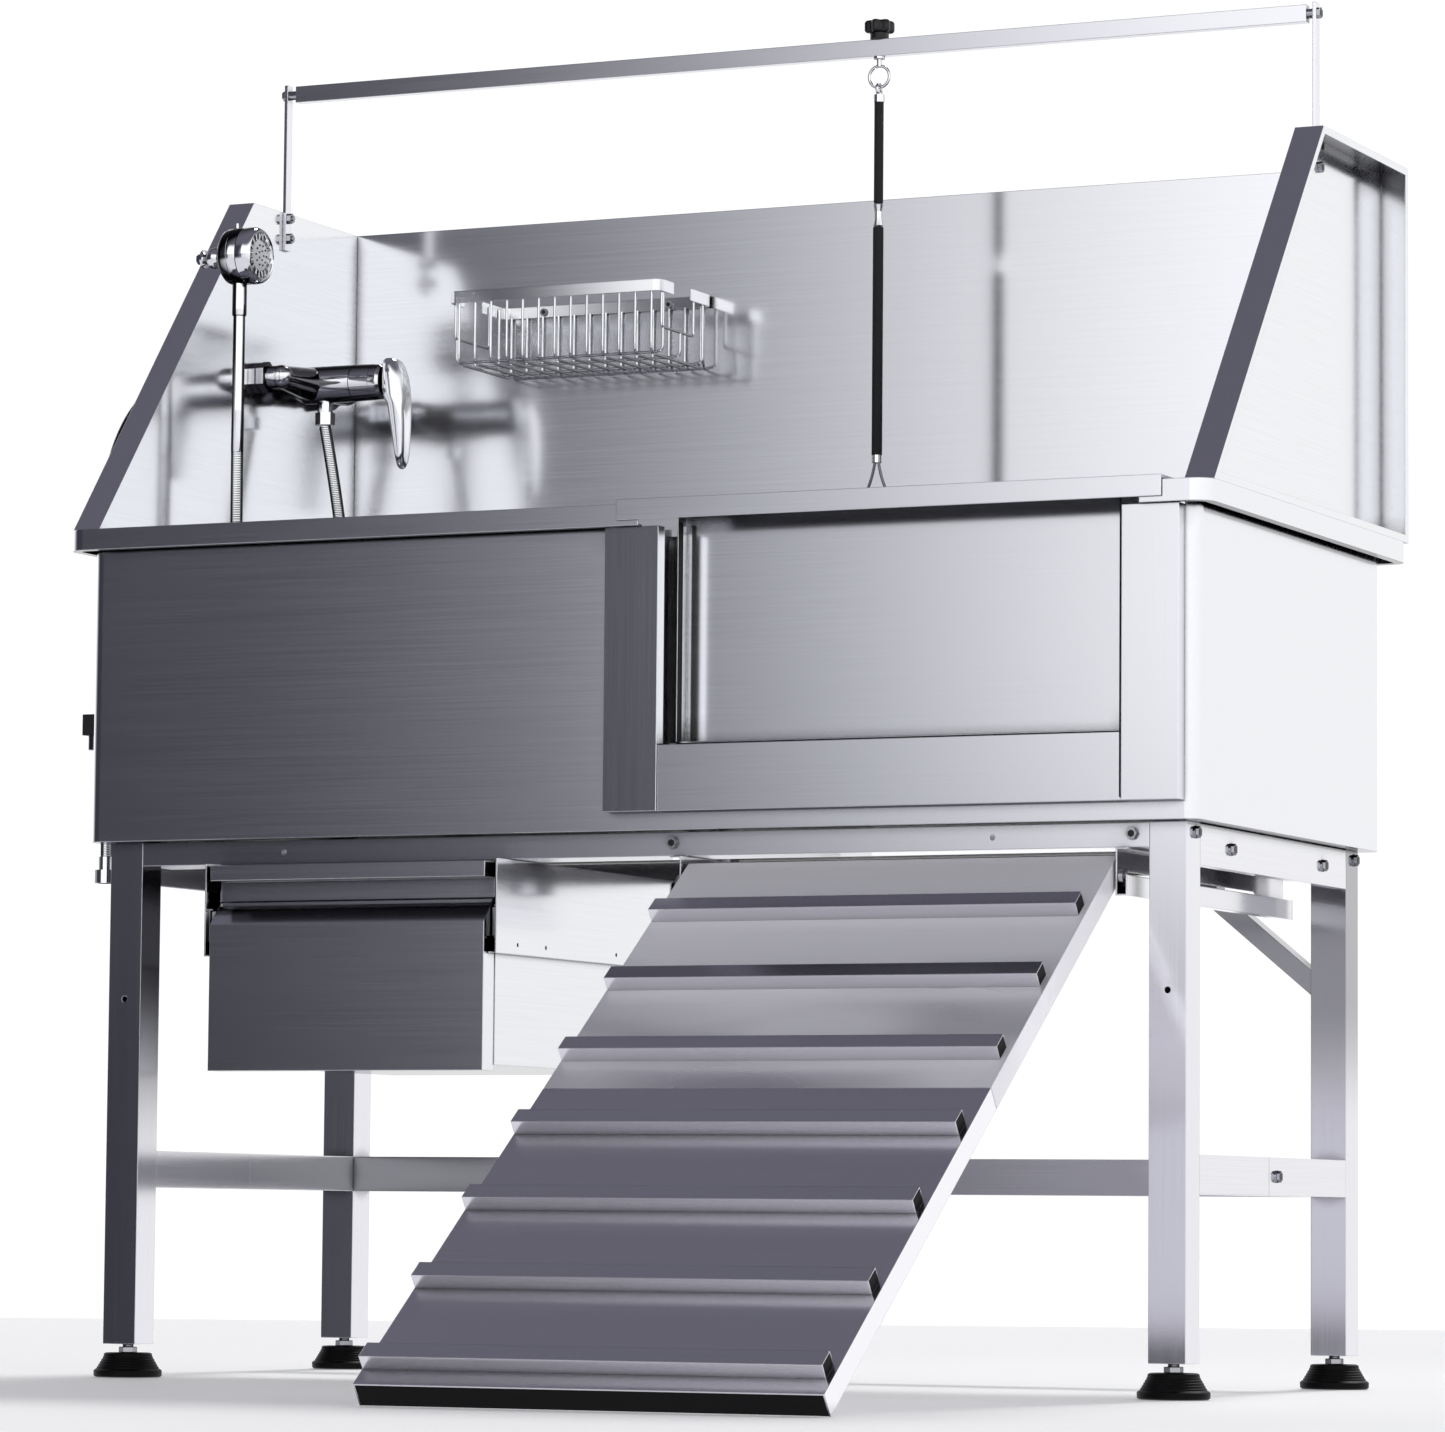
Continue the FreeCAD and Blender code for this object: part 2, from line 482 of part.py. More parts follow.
# ---- drawer ----
def drawer():
    hx0, hx1 = DRAWER_X0 - 11.0, DRAWER_X1 + 10.0
    hz0, hz1, hy0, hy1 = 433.0, RAIL_Z0 - 0.5, -12.0, 402.0
    add("drawer_housing", fuse([
        box(hx0, hx0 + T, hy0, hy1, hz0, hz1), box(hx1 - T, hx1, hy0, hy1, hz0, hz1),
        box(hx0, hx1, 8, hy1, hz1 - T, hz1), box(hx0, hx1, hy1 - T, hy1, hz0, hz1),
        box(hx0, hx0 + 9, hy0, hy1, hz0, hz0 + T), box(hx1 - 9, hx1, hy0, hy1, hz0, hz0 + T)])
        .cut([rod((hx1 - 4, y, 443), (hx1 + 2, y, 443), 2.0) for y in (36, 100, 265)]))
    rail = [box(0, T, 0, 396, 0, 34), box(T, 4.2, 0, 396, 0, T), box(T, 4.2, 0, 396, 32.5, 34)]
    fixed = fuse([r.copy().translate(vec(hx0 + T + 0.05, -6, 448)) for r in rail])
    mid = (hx0 + hx1) / 2
    add("slide_rails_fixed", [fixed, mirror_x(fixed, mid)])
    moving = box(hx0 + T + 2.6, hx0 + T + 7.4, -4, 386, 450.5, 479.5)
    add("slide_rails_moving", [moving, mirror_x(moving, mid)])

    bx0, bx1 = hx0 + T + 7.6, hx1 - T - 7.6
    by0, by1, bz0, bz1 = 4.5, 388.0, 321.0, 500.0
    body = box(bx0, bx1, by0, by1, bz0, bz1).cut(box(bx0 + T, bx1 - T, by0 + T, by1 - T, bz0 + T, bz1 + 5))
    add("drawer_box", body)

    x0, x1, y0 = DRAWER_X0, DRAWER_X1, DRAWER_Y
    fz0, fz1, grip0, grip1, lip = 315.0, 465.0, 490.0, 510.0, 525.5
    back = 4.3
    outline = [(y0, fz0), (y0, fz1), (back - T, grip0), (back - T, grip1), (y0, grip1), (y0, lip),
               (back, lip), (back, fz0)]
    solid = prism([(x0, y, z) for y, z in outline], (x1 - x0, 0, 0))
    core = [(y0 + T, fz0 + T), (y0 + T, fz1 - 0.8), (back - 2.2 * T, grip0 - 1.5), (back - 2.2 * T, fz0 + T)]
    inside = prism([(x0 + T, y, z) for y, z in core], (x1 - x0 - 2 * T, 0, 0))
    groove = box(x0 + T, x1 - T, y0 + T, back - T, grip1 + T, lip - T)
    add("drawer_front", solid.cut([inside, groove]))


# ---- grooming arm ----
def arm():
    """Uprights, crossbar, eye bolt and knob; returns the height of the eye's ring."""
    flat = box(PANEL_X + 0.1, PANEL_X + 4.1, ARM_Y - BAR_W / 2, ARM_Y + BAR_W / 2, 1234, ARM_Z + 11)
    holes = [rod((PANEL_X - 5, ARM_Y, z), (PANEL_X + 9, ARM_Y, z), BOLT_R)
             for z in ARM_SCREWS + (ARM_Z,)]
    left = flat.cut(holes)
    add("arm_uprights", [left, mirror_x(left)])

    x0, x1 = 26.0, TUB_L - 23.0
    inner = box(x0 + 2, x1 - 2, ARM_Y - 4, ARM_Y + 4, ARM_Z - 7.5, ARM_Z + 7.5)
    bar = box(x0, x1, ARM_Y - BAR_W / 2, ARM_Y + BAR_W / 2, ARM_Z - BAR_H / 2, ARM_Z + BAR_H / 2)
    bar = bar.cut(inner)
    bar = bar.cut(rod((0, ARM_Y, ARM_Z), (TUB_L, ARM_Y, ARM_Z), 3.0))
    bar = bar.cut(rod((EYE_X, ARM_Y, ARM_Z - 15), (EYE_X, ARM_Y, ARM_Z + 15), 2.9))
    add("overhead_bar", bar)

    screws = []
    for z in ARM_SCREWS:
        screw = fuse([rod((PANEL_X - T - 4, ARM_Y, z), (PANEL_X + 11, ARM_Y, z), 2.9),
                      hexagon((PANEL_X - T - 4, ARM_Y, z), (1, 0, 0), 10, 3.8),
                      hexagon((PANEL_X + 4.3, ARM_Y, z), (1, 0, 0), 10, 5)])
        screws += [screw, mirror_x(screw)]
    left = fuse([rod((PANEL_X - 3.5, ARM_Y, ARM_Z), (x0 + 14, ARM_Y, ARM_Z), 2.9),
                 hexagon((PANEL_X - 3.7, ARM_Y, ARM_Z), (1, 0, 0), 10, 3.6),
                 rod((PANEL_X + 4.3, ARM_Y, ARM_Z), (x0 - 0.2, ARM_Y, ARM_Z), 5.0)])
    right = fuse([rod((TUB_L - PANEL_X + 3.5, ARM_Y, ARM_Z), (x1 - 14, ARM_Y, ARM_Z), 2.9),
                  hexagon((TUB_L - PANEL_X + 3.7, ARM_Y, ARM_Z), (-1, 0, 0), 10, 3.6),
                  rod((TUB_L - PANEL_X - 4.3, ARM_Y, ARM_Z), (x1 + 0.2, ARM_Y, ARM_Z), 5.0)])
    fasteners.extend(screws + [left, right])

    ring_z = ARM_Z - BAR_H / 2 - 21.5
    ring = Part.makeTorus(11.5, 1.6, vec(EYE_X, ARM_Y, ring_z), vec(0, 1, 0))
    shank = rod((EYE_X, ARM_Y, ring_z + 11), (EYE_X, ARM_Y, ARM_Z + 24), 2.6)
    flange = rod((EYE_X, ARM_Y, ARM_Z - 11.5), (EYE_X, ARM_Y, ARM_Z - 9.1), 6.0)
    add("eye_bolt", fuse([ring, shank, flange]))
    base, bore_r = ARM_Z + BAR_H / 2 + 0.3, 2.68
    hub = revolve([(0, bore_r), (0, 10), (7, 10), (7, bore_r)], (EYE_X, ARM_Y, base), (0, 0, 1))
    star = revolve([(6.5, bore_r), (6.5, 13), (8, 14), (19, 14), (20.5, 12.5), (20.5, bore_r)],
                   (EYE_X, ARM_Y, base), (0, 0, 1))
    lobes = []
    for k in range(6):
        x = EYE_X + 12.5 * math.cos(k * math.pi / 3)
        y = ARM_Y + 12.5 * math.sin(k * math.pi / 3)
        lobes.append(rod((x, y, base + 7), (x, y, base + 20), 4.2))
    bore = rod((EYE_X, ARM_Y, base - 1), (EYE_X, ARM_Y, base + 25), bore_r)
    add("clamp_knob", fuse([hub, star] + lobes).cut(bore))
    return ring_z


def tether(ring_z):
    """Noose hanging from the ring: strap, crimp sleeve, covered lower part and a wire loop."""
    top = ring_z - 13.4
    loop = Part.makeTorus(5.6, 1.8, vec(EYE_X, ARM_Y, top - 0.2), vec(1, 0, 0))
    z_crimp1, z_crimp0, z_end = 1242.0, 1216.0, 965.0
    neck = rod((EYE_X, ARM_Y, top - 6.5), (EYE_X, ARM_Y, top - 4), 3.0)
    socket = rod((EYE_X, ARM_Y, top - 14), (EYE_X, ARM_Y, top - 6), 5.6)
    link = fuse([loop, neck, socket])
    strap = rod((EYE_X, ARM_Y, z_crimp1 + 0.1), (EYE_X, ARM_Y, top - 14.1), STRAP_R)
    crimp = revolve([(0, 0), (0, 4.2), (2, 5.2), (9, 3.9), (17, 3.9), (24, 5.2), (26, 4.2), (26, 0)],
                    (EYE_X, ARM_Y, z_crimp0), (0, 0, 1))
    sleeve = rod((EYE_X, ARM_Y, z_end + 8.1), (EYE_X, ARM_Y, z_crimp0 - 0.1), SLEEVE_R)
    add("tether_strap", [strap, sleeve])
    ferrule = rod((EYE_X, ARM_Y, z_end), (EYE_X, ARM_Y, z_end + 8), 5.2)
    add("tether_ferrules", [link, crimp, ferrule])
    x, y, z = EYE_X, ARM_Y, z_end
    loop_points = [(x - 2.2, y, z - 0.1), (x - 6, y, z - 22), (x - 22, y, z - 46), (x - 33, y, z - 76),
                   (x - 27, y, z - 104), (x - 1, y, z - 117), (x + 26, y, z - 105), (x + 33, y, z - 77),
                   (x + 22, y, z - 46), (x + 6, y, z - 22), (x + 2.2, y, z - 0.1)]
    tube_route("noose_wire", loop_points, NOOSE_D)


# ---- wire basket ----
def basket():
    x0, x1, y0, y1, z1 = BASKET_X0, BASKET_X1, BASKET_Y0, BASKET_Y1, BASKET_Z1
    band = rounded_plate(x0, x1, y0, y1, z1 - BASKET_BAND, z1, 8)
    band = band.cut(rounded_plate(x0 + 2, x1 - 2, y0 + 2, y1 - 2, z1 - 20, z1 + 5, 6))
    holes = [rod((x, y1 - 5, z1 - 7), (x, y1 + 5, z1 - 7), 2.2) for x in BASKET_SCREWS]
    wires = []
    r = WIRE_R
    ya, yb, za, zb = y0 + 1.7 + r, y1 - 1.7 - r, z1 - BASKET_BAND, BASKET_Z0 + r
    for k in range(13):
        x = x0 + 12 + k * (x1 - x0 - 24) / 12
        wires.append(rod((x, ya, zb), (x, ya, za + 10), r))
        wires.append(rod((x, ya, zb), (x, yb, zb), r))
        wires.append(rod((x, yb, zb), (x, yb, za + 1.5), r))     # ends below the screw heads
        wires += [Part.makeSphere(r, vec(x, ya, zb)), Part.makeSphere(r, vec(x, yb, zb))]
    for y in (ya + 22, (ya + yb) / 2, yb - 22):
        wires.append(rod((x0 + 3.2, y, zb + 1.6), (x1 - 3.2, y, zb + 1.6), r))
    for x in (x0 + 3.2, x1 - 3.2):
        for y in (ya + 22, (ya + yb) / 2, yb - 22):
            wires.append(rod((x, y, zb + 1.6), (x, y, za + 9), r))
            wires.append(Part.makeSphere(r, vec(x, y, zb + 1.6)))
    for y in (ya + 1.6, yb - 1.6):
        wires.append(rod((x0 + 8, y, zb + 32), (x1 - 8, y, zb + 32), r))
    add("wire_basket", fuse([band.cut(holes)] + wires))
    for x in BASKET_SCREWS:
        head = rod((x, y1 - 2.1, z1 - 7), (x, y1 - 4.4, z1 - 7), 4.2)
        fasteners.append(fuse([head, rod((x, y1 - 4, z1 - 7), (x, y1 + 6, z1 - 7), 2.0)]))


# ---- mixer tap ----
def union_points():
    return [(MIX_Y - UNION_GAP / 2, MIX_Z), (MIX_Y + UNION_GAP / 2, MIX_Z)]


def unions():
    """Threaded shanks through the left panel, their nuts and the elbow that feeds the front one."""
    nuts, shanks = [], []
    x = PANEL_X
    for y, z in union_points():
        bore = rod((x - 30, y, z), (x + 30, y, z), SHANK_R + 0.05)
        inner = fuse([hexagon((x + 0.2, y, z), (1, 0, 0), 29, 8), rod((x + 8, y, z), (x + 10, y, z), 13),
                      hexagon((x + 10, y, z), (1, 0, 0), 30, 9)])
        outer = hexagon((x - T - 7.2, y, z), (1, 0, 0), 28, 7)
        nuts += [inner.cut(bore), outer.cut(bore)]
        shanks.append(revolve([(-15, 6.5), (-15, SHANK_R), (24, SHANK_R), (24, 6.5)],
                              (x, y, z), (1, 0, 0)))
    y, z = union_points()[0]
    elbow = fuse([rod((ELBOW_X - 11.5, y, z), (x - 15.2, y, z), 11.5),
                  rod((ELBOW_X, y, z), (ELBOW_X, y - ELBOW_REACH, z), 10.0)])
    add("mixer_shanks", shanks + [elbow])
    outlet = hexagon((OUTLET_X, MIX_Y, OUTLET_Z), (0, 0, -1), 19, OUTLET_NUT)
    add("mixer_nuts", nuts + [outlet])


def mixer():
    unions()

    arms = []
    xc = 46.0
    for sign in (-1, 1):
        y = MIX_Y + sign * UNION_GAP / 2
        arms.append(rod((PANEL_X + 19.2, y, MIX_Z), (xc, y, MIX_Z), 12.5))
        arms.append(Part.makeSphere(12.9, vec(xc, y, MIX_Z)))
        arms.append(Part.makeCone(12.3, 19.0, UNION_GAP / 2 - 4, vec(xc, y, MIX_Z), vec(0, -sign, 0)))
    housing = revolve([(HOUSING_X0, 0), (HOUSING_X0, 15), (HOUSING_X0 + 9, 20.6), (HOUSING_X0 + 72, 20.4),
                       (HOUSING_X0 + 72, 19.5), (HOUSING_X0 + 73.5, 19.5), (HOUSING_X0 + 73.5, 20.4),
                       (HOUSING_X1, 19.9), (HOUSING_X1, 0)], (0, MIX_Y, MIX_Z), (1, 0, 0))
    boss = rod((OUTLET_X, MIX_Y, MIX_Z - 5), (OUTLET_X, MIX_Y, OUTLET_Z + 0.1), 8.5)
    body = fuse([housing] + arms + [boss])
    bores = [rod((PANEL_X + 10, y, z), (PANEL_X + 24.5, y, z), SHANK_R + 0.05) for y, z in union_points()]
    add("mixer_body", body.cut(bores))

    collar = revolve([(0.3, 0), (0.3, 19.7), (9, 19.4), (12, 17), (12, 0)],
                     (HOUSING_X1, MIX_Y, MIX_Z), (1, 0, 0))
    add("lever_collar", collar)
    xl = LEVER_X
    profile = [(0, 18), (4, 25), (12, 25), (20, 17), (26, 2), (29, -20), (29.5, -50), (28.5, -82),
               (25, -94), (20.5, -98), (17.5, -93), (10.5, -55), (6, -24), (0, -19)]
    head = prism([(xl + x, MIX_Y - 17, MIX_Z + z) for x, z in profile], (0, 34, 0))
    front = [(17, 30), (17, -10), (12, -60), (9, -100), (-9, -100), (-12, -60), (-17, -10), (-17, 30)]
    sides = prism([(xl - 5, MIX_Y + y, MIX_Z + z) for y, z in front], (45, 0, 0))
    add("mixer_lever", head.common(sides))


# ---- hand shower ----
def hand_shower():
    x, y, z = HEAD_X, HEAD_Y, HEAD_Z
    stem = revolve([(0.1, 0), (0.1, 10), (2, 10), (3, 5.5), (8, 5.5), (8, 0)],
                   (PANEL_X, y, z), (1, 0, 0))
    holder = fuse([stem, Part.makeSphere(BALL_R, vec(BALL_X, y, z))])
    screw = rod((PANEL_X - 6, y, z), (PANEL_X + 3, y, z), 2.9)
    nut = hexagon((PANEL_X - T - 5.2, y, z), (1, 0, 0), 10, 5)
    add("shower_holder", fuse([holder, screw, nut]))
    cup = revolve([(34.5, 0), (34.5, 9.5), (37, 11.5), (41, 14), (41, 0)], (0, y, z), (1, 0, 0))
    bell = revolve([(40, 0), (40, 27), (43, 30.5), (65, 30.5), (66, 29.5), (66, 0)], (0, y, z), (1, 0, 0))
    button = rod((x - 4, y, z + 28), (x - 4, y, z + 36), 3.0)
    collar = rod((x, y, z - 62), (x, y, z - 20), 7.8)
    handle = rod((x, y, HANDLE_Z), (x, y, z - 61), 6.8)
    body = fuse([bell, cup, button, collar, handle])
    add("handset_body", body.cut(Part.makeSphere(BALL_R + 0.3, vec(BALL_X, y, z))))
    dial = revolve([(66.3, 0), (66.3, 29.8), (76, 31), (80, 30), (84, 26), (84, 21.5), (80, 19),
                    (80, 0)], (0, y, z), (1, 0, 0))
    nozzles = []
    for ring, count in ((6.0, 5), (13.0, 10)):
        for k in range(count):
            yn = y + ring * math.cos(k * 2 * math.pi / count)
            zn = z + ring * math.sin(k * 2 * math.pi / count)
            nozzles.append(rod((78, yn, zn), (82, yn, zn), 1.5))
    add("spray_dial", dial.cut(nozzles))

    tube_route("shower_hose", SHOWER_ROUTE, HOSE_D)
    tube_route("supply_hose", SUPPLY_ROUTE, SUPPLY_D)
    ex, ey, ez = SUPPLY_ROUTE[-1]
    connector = revolve([(0, 0), (0, 8), (-14, 8), (-14, 12), (-28, 12), (-28, 9.2), (-20, 9.2),
                         (-20, 0)], (ex, ey, ez - 0.2), (0, 0, 1))
    add("supply_connector", connector)


# Hose from the handset's handle, down into the basin, round its floor and up to the mixer's outlet.
SHOWER_ROUTE = [
    (57, 203, HANDLE_Z - 0.1), (58, 203, 850), (55, 202, 715), (60, 206, 565), (209, 172, 565),
    (338, 205, 565), (392, 318, 565), (338, 430, 565), (213, 462, 565), (86, 402, 565),
    (80, 399, 722), (90, 398, 835), (78, 395, 945),
    (60, 393, OUTLET_Z - OUTLET_NUT - 1.5)]
# Hose outside the left panel: from the front inlet forwards and down past the front corner.
SUPPLY_ROUTE = [
    (ELBOW_X, 293.3, MIX_Z), (-20, 225, 1080), (-33, 158, 1045), (-34, 106, 990), (-33, 79, 920),
    (-32, 88, 842), (-33, 97, 762), (-32, 93, 684), (-33, 95, 606), (-32, 94, 545)]


basin()
drainage()
splash_panels()
door()
frame()
feet()
frame_bolts()
ramp()
drawer()
tether(arm())
basket()
mixer()
hand_shower()
add("fasteners", fasteners)

# ---- move the origin to the middle of the footprint, on the floor, and write the files ----
CORD_NODES = ("shower_hose", "supply_hose", "supply_connector", "noose_wire", "tether_strap")
bounds = FreeCAD.BoundBox()
for node, solids in parts.items():
    if node not in CORD_NODES:
        for solid in solids:
            bounds.add(solid.BoundBox)
shift = vec(-bounds.Center.x, -bounds.Center.y, 0)
print("shift %.3f %.3f" % (shift.x, shift.y),
      "size %.1f %.1f %.1f" % (bounds.XLength, bounds.YLength, bounds.ZLength), "zmin", bounds.ZMin)
os.makedirs("parts", exist_ok=True)
for node, solids in parts.items():
    shape = solids[0] if len(solids) == 1 else Part.makeCompound(solids)
    if not shape.isValid():
        print("INVALID", node)
    count = len(shape.Solids)
    if count != len(solids):
        print("SOLIDS", node, count, "expected", len(solids))
    shape.translate(shift)
    shape.exportStep("parts/%s.step" % node)
print(len(parts), "nodes")
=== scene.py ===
import math

import bmesh
import bpy
from mathutils import Matrix, Vector


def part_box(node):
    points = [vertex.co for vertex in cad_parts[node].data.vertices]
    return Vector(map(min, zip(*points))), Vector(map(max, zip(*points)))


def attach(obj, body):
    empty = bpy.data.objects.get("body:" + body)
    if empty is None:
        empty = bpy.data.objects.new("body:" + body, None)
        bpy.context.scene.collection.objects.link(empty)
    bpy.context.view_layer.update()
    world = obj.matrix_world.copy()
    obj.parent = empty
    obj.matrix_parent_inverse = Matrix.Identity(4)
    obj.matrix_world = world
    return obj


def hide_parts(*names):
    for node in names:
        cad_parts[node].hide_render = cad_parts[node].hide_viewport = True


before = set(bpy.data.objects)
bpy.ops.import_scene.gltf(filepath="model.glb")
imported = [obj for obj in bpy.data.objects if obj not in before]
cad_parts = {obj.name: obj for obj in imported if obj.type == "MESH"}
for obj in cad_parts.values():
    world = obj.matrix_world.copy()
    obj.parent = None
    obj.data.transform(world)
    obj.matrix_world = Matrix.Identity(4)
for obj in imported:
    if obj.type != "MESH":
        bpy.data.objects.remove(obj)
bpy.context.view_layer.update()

# Work frame of the design, in millimetres: X = 0 at the basin's left end wall, Y = 0 at its front wall, Z = 0 on the floor.
ORIGIN = Vector((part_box("tub_shell")[0].x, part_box("tub_shell")[0].y, 0.0))
DOWN = Vector((0, 0, -1))


def at(x, y, z):
    """A point of the work frame in the row frame, in metres."""
    return ORIGIN + Vector((x, y, z)) / 1000.0


# ---- camera ----
def make_camera():
    data = bpy.data.cameras.new("camera")
    data.sensor_width = 36.0
    data.lens = 148.91
    data.clip_start = 0.5
    data.clip_end = 60.0
    yaw, pitch, roll = math.radians(24.843), math.radians(4.842), math.radians(0.502)
    forward = Vector((-math.sin(yaw) * math.cos(pitch), math.cos(yaw) * math.cos(pitch), math.sin(pitch)))
    level = Vector((math.cos(yaw), math.sin(yaw), 0))
    upright = level.cross(forward)
    right = level * math.cos(roll) + upright * math.sin(roll)
    up = upright * math.cos(roll) - level * math.sin(roll)
    camera = bpy.data.objects.new("camera", data)
    camera.matrix_world = Matrix.Translation(at(3214.1, -5367.9, 165)) @ Matrix((right, up, -forward)).transposed().to_4x4()
    bpy.context.scene.collection.objects.link(camera)
    bpy.context.scene.camera = camera
    return camera


# ---- cords ----
HOSE_D = 0.0135
SUPPLY_D = 0.013
# Hose from the handset's handle, down into the basin, round its floor and up to the mixer's outlet.
SHOWER_ROUTE = [
    (57, 203, 984.9), (58, 203, 850), (55, 202, 715), (60, 206, 565), (209, 172, 565), (338, 205, 565),
    (392, 318, 565), (338, 430, 565), (213, 462, 565), (86, 402, 565), (80, 399, 722), (90, 398, 835), (78, 395, 945),
    (60, 393, 1037)]
# Hose outside the left panel: from the front inlet forwards and down past the front corner.
SUPPLY_ROUTE = [
    (-15, 293.3, 1083.5), (-20, 225, 1080), (-33, 158, 1045), (-34, 106, 990), (-33, 79, 920), (-32, 88, 842),
    (-33, 97, 762), (-32, 93, 684), (-33, 95, 606), (-32, 94, 545)]
EYE_X, ARM_Y, NOOSE_TOP = 728.8, 382.0, 965.0
NOOSE_OFFSETS = [(-2.2, -0.1), (-6, -22), (-22, -46), (-33, -76), (-27, -104), (-1, -117), (26, -105), (33, -77),
                 (22, -46), (6, -22), (2.2, -0.1)]


def cord_curve(name, points, diameter):
    """A smooth tube along control points given in the work frame."""
    data = bpy.data.curves.new(name, "CURVE")
    data.dimensions = "3D"
    data.resolution_u = 16
    data.bevel_depth = diameter / 2
    data.bevel_resolution = 6
    data.use_fill_caps = True
    spline = data.splines.new("NURBS")
    spline.points.add(len(points) - 1)
    for point, place in zip(spline.points, points):
        point.co = (*at(*place), 1.0)
    spline.order_u = 3
    spline.use_endpoint_u = True
    obj = bpy.data.objects.new(name, data)
    bpy.context.scene.collection.objects.link(obj)
    return obj


def make_cords(materials):
    shower = cord_curve("shower_hose_tube", SHOWER_ROUTE, HOSE_D)
    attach(shower, "tub_frame")
    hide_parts("shower_hose")
    shower.data.materials.append(materials["hose"])

    supply = cord_curve("supply_hose_tube", SUPPLY_ROUTE, SUPPLY_D)
    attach(supply, "tub_frame")
    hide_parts("supply_hose")
    supply.data.materials.append(materials["hose"])

    strap = cord_curve("tether_upper", [(EYE_X, ARM_Y, z) for z in (1349.9, 1314, 1278, 1242.1)], 0.010)
    sleeve = cord_curve("tether_lower", [(EYE_X, ARM_Y, z) for z in (1215.9, 1135, 1055, 973.1)], 0.0112)
    noose = cord_curve("noose_loop", [(EYE_X + dx, ARM_Y, NOOSE_TOP + dz) for dx, dz in NOOSE_OFFSETS], 0.003)
    for piece, diameter, end, slot in ((strap, 0.010, "fitting", "tether_black"),
                                       (sleeve, 0.0112, "fitting", "tether_black"),
                                       (noose, 0.003, "fitting", "noose_coated")):
        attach(piece, "tether")
    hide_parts("tether_strap")
    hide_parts("noose_wire")
    strap.data.materials.append(materials["webbing"])
    sleeve.data.materials.append(materials["webbing"])
    noose.data.materials.append(materials["noose"])


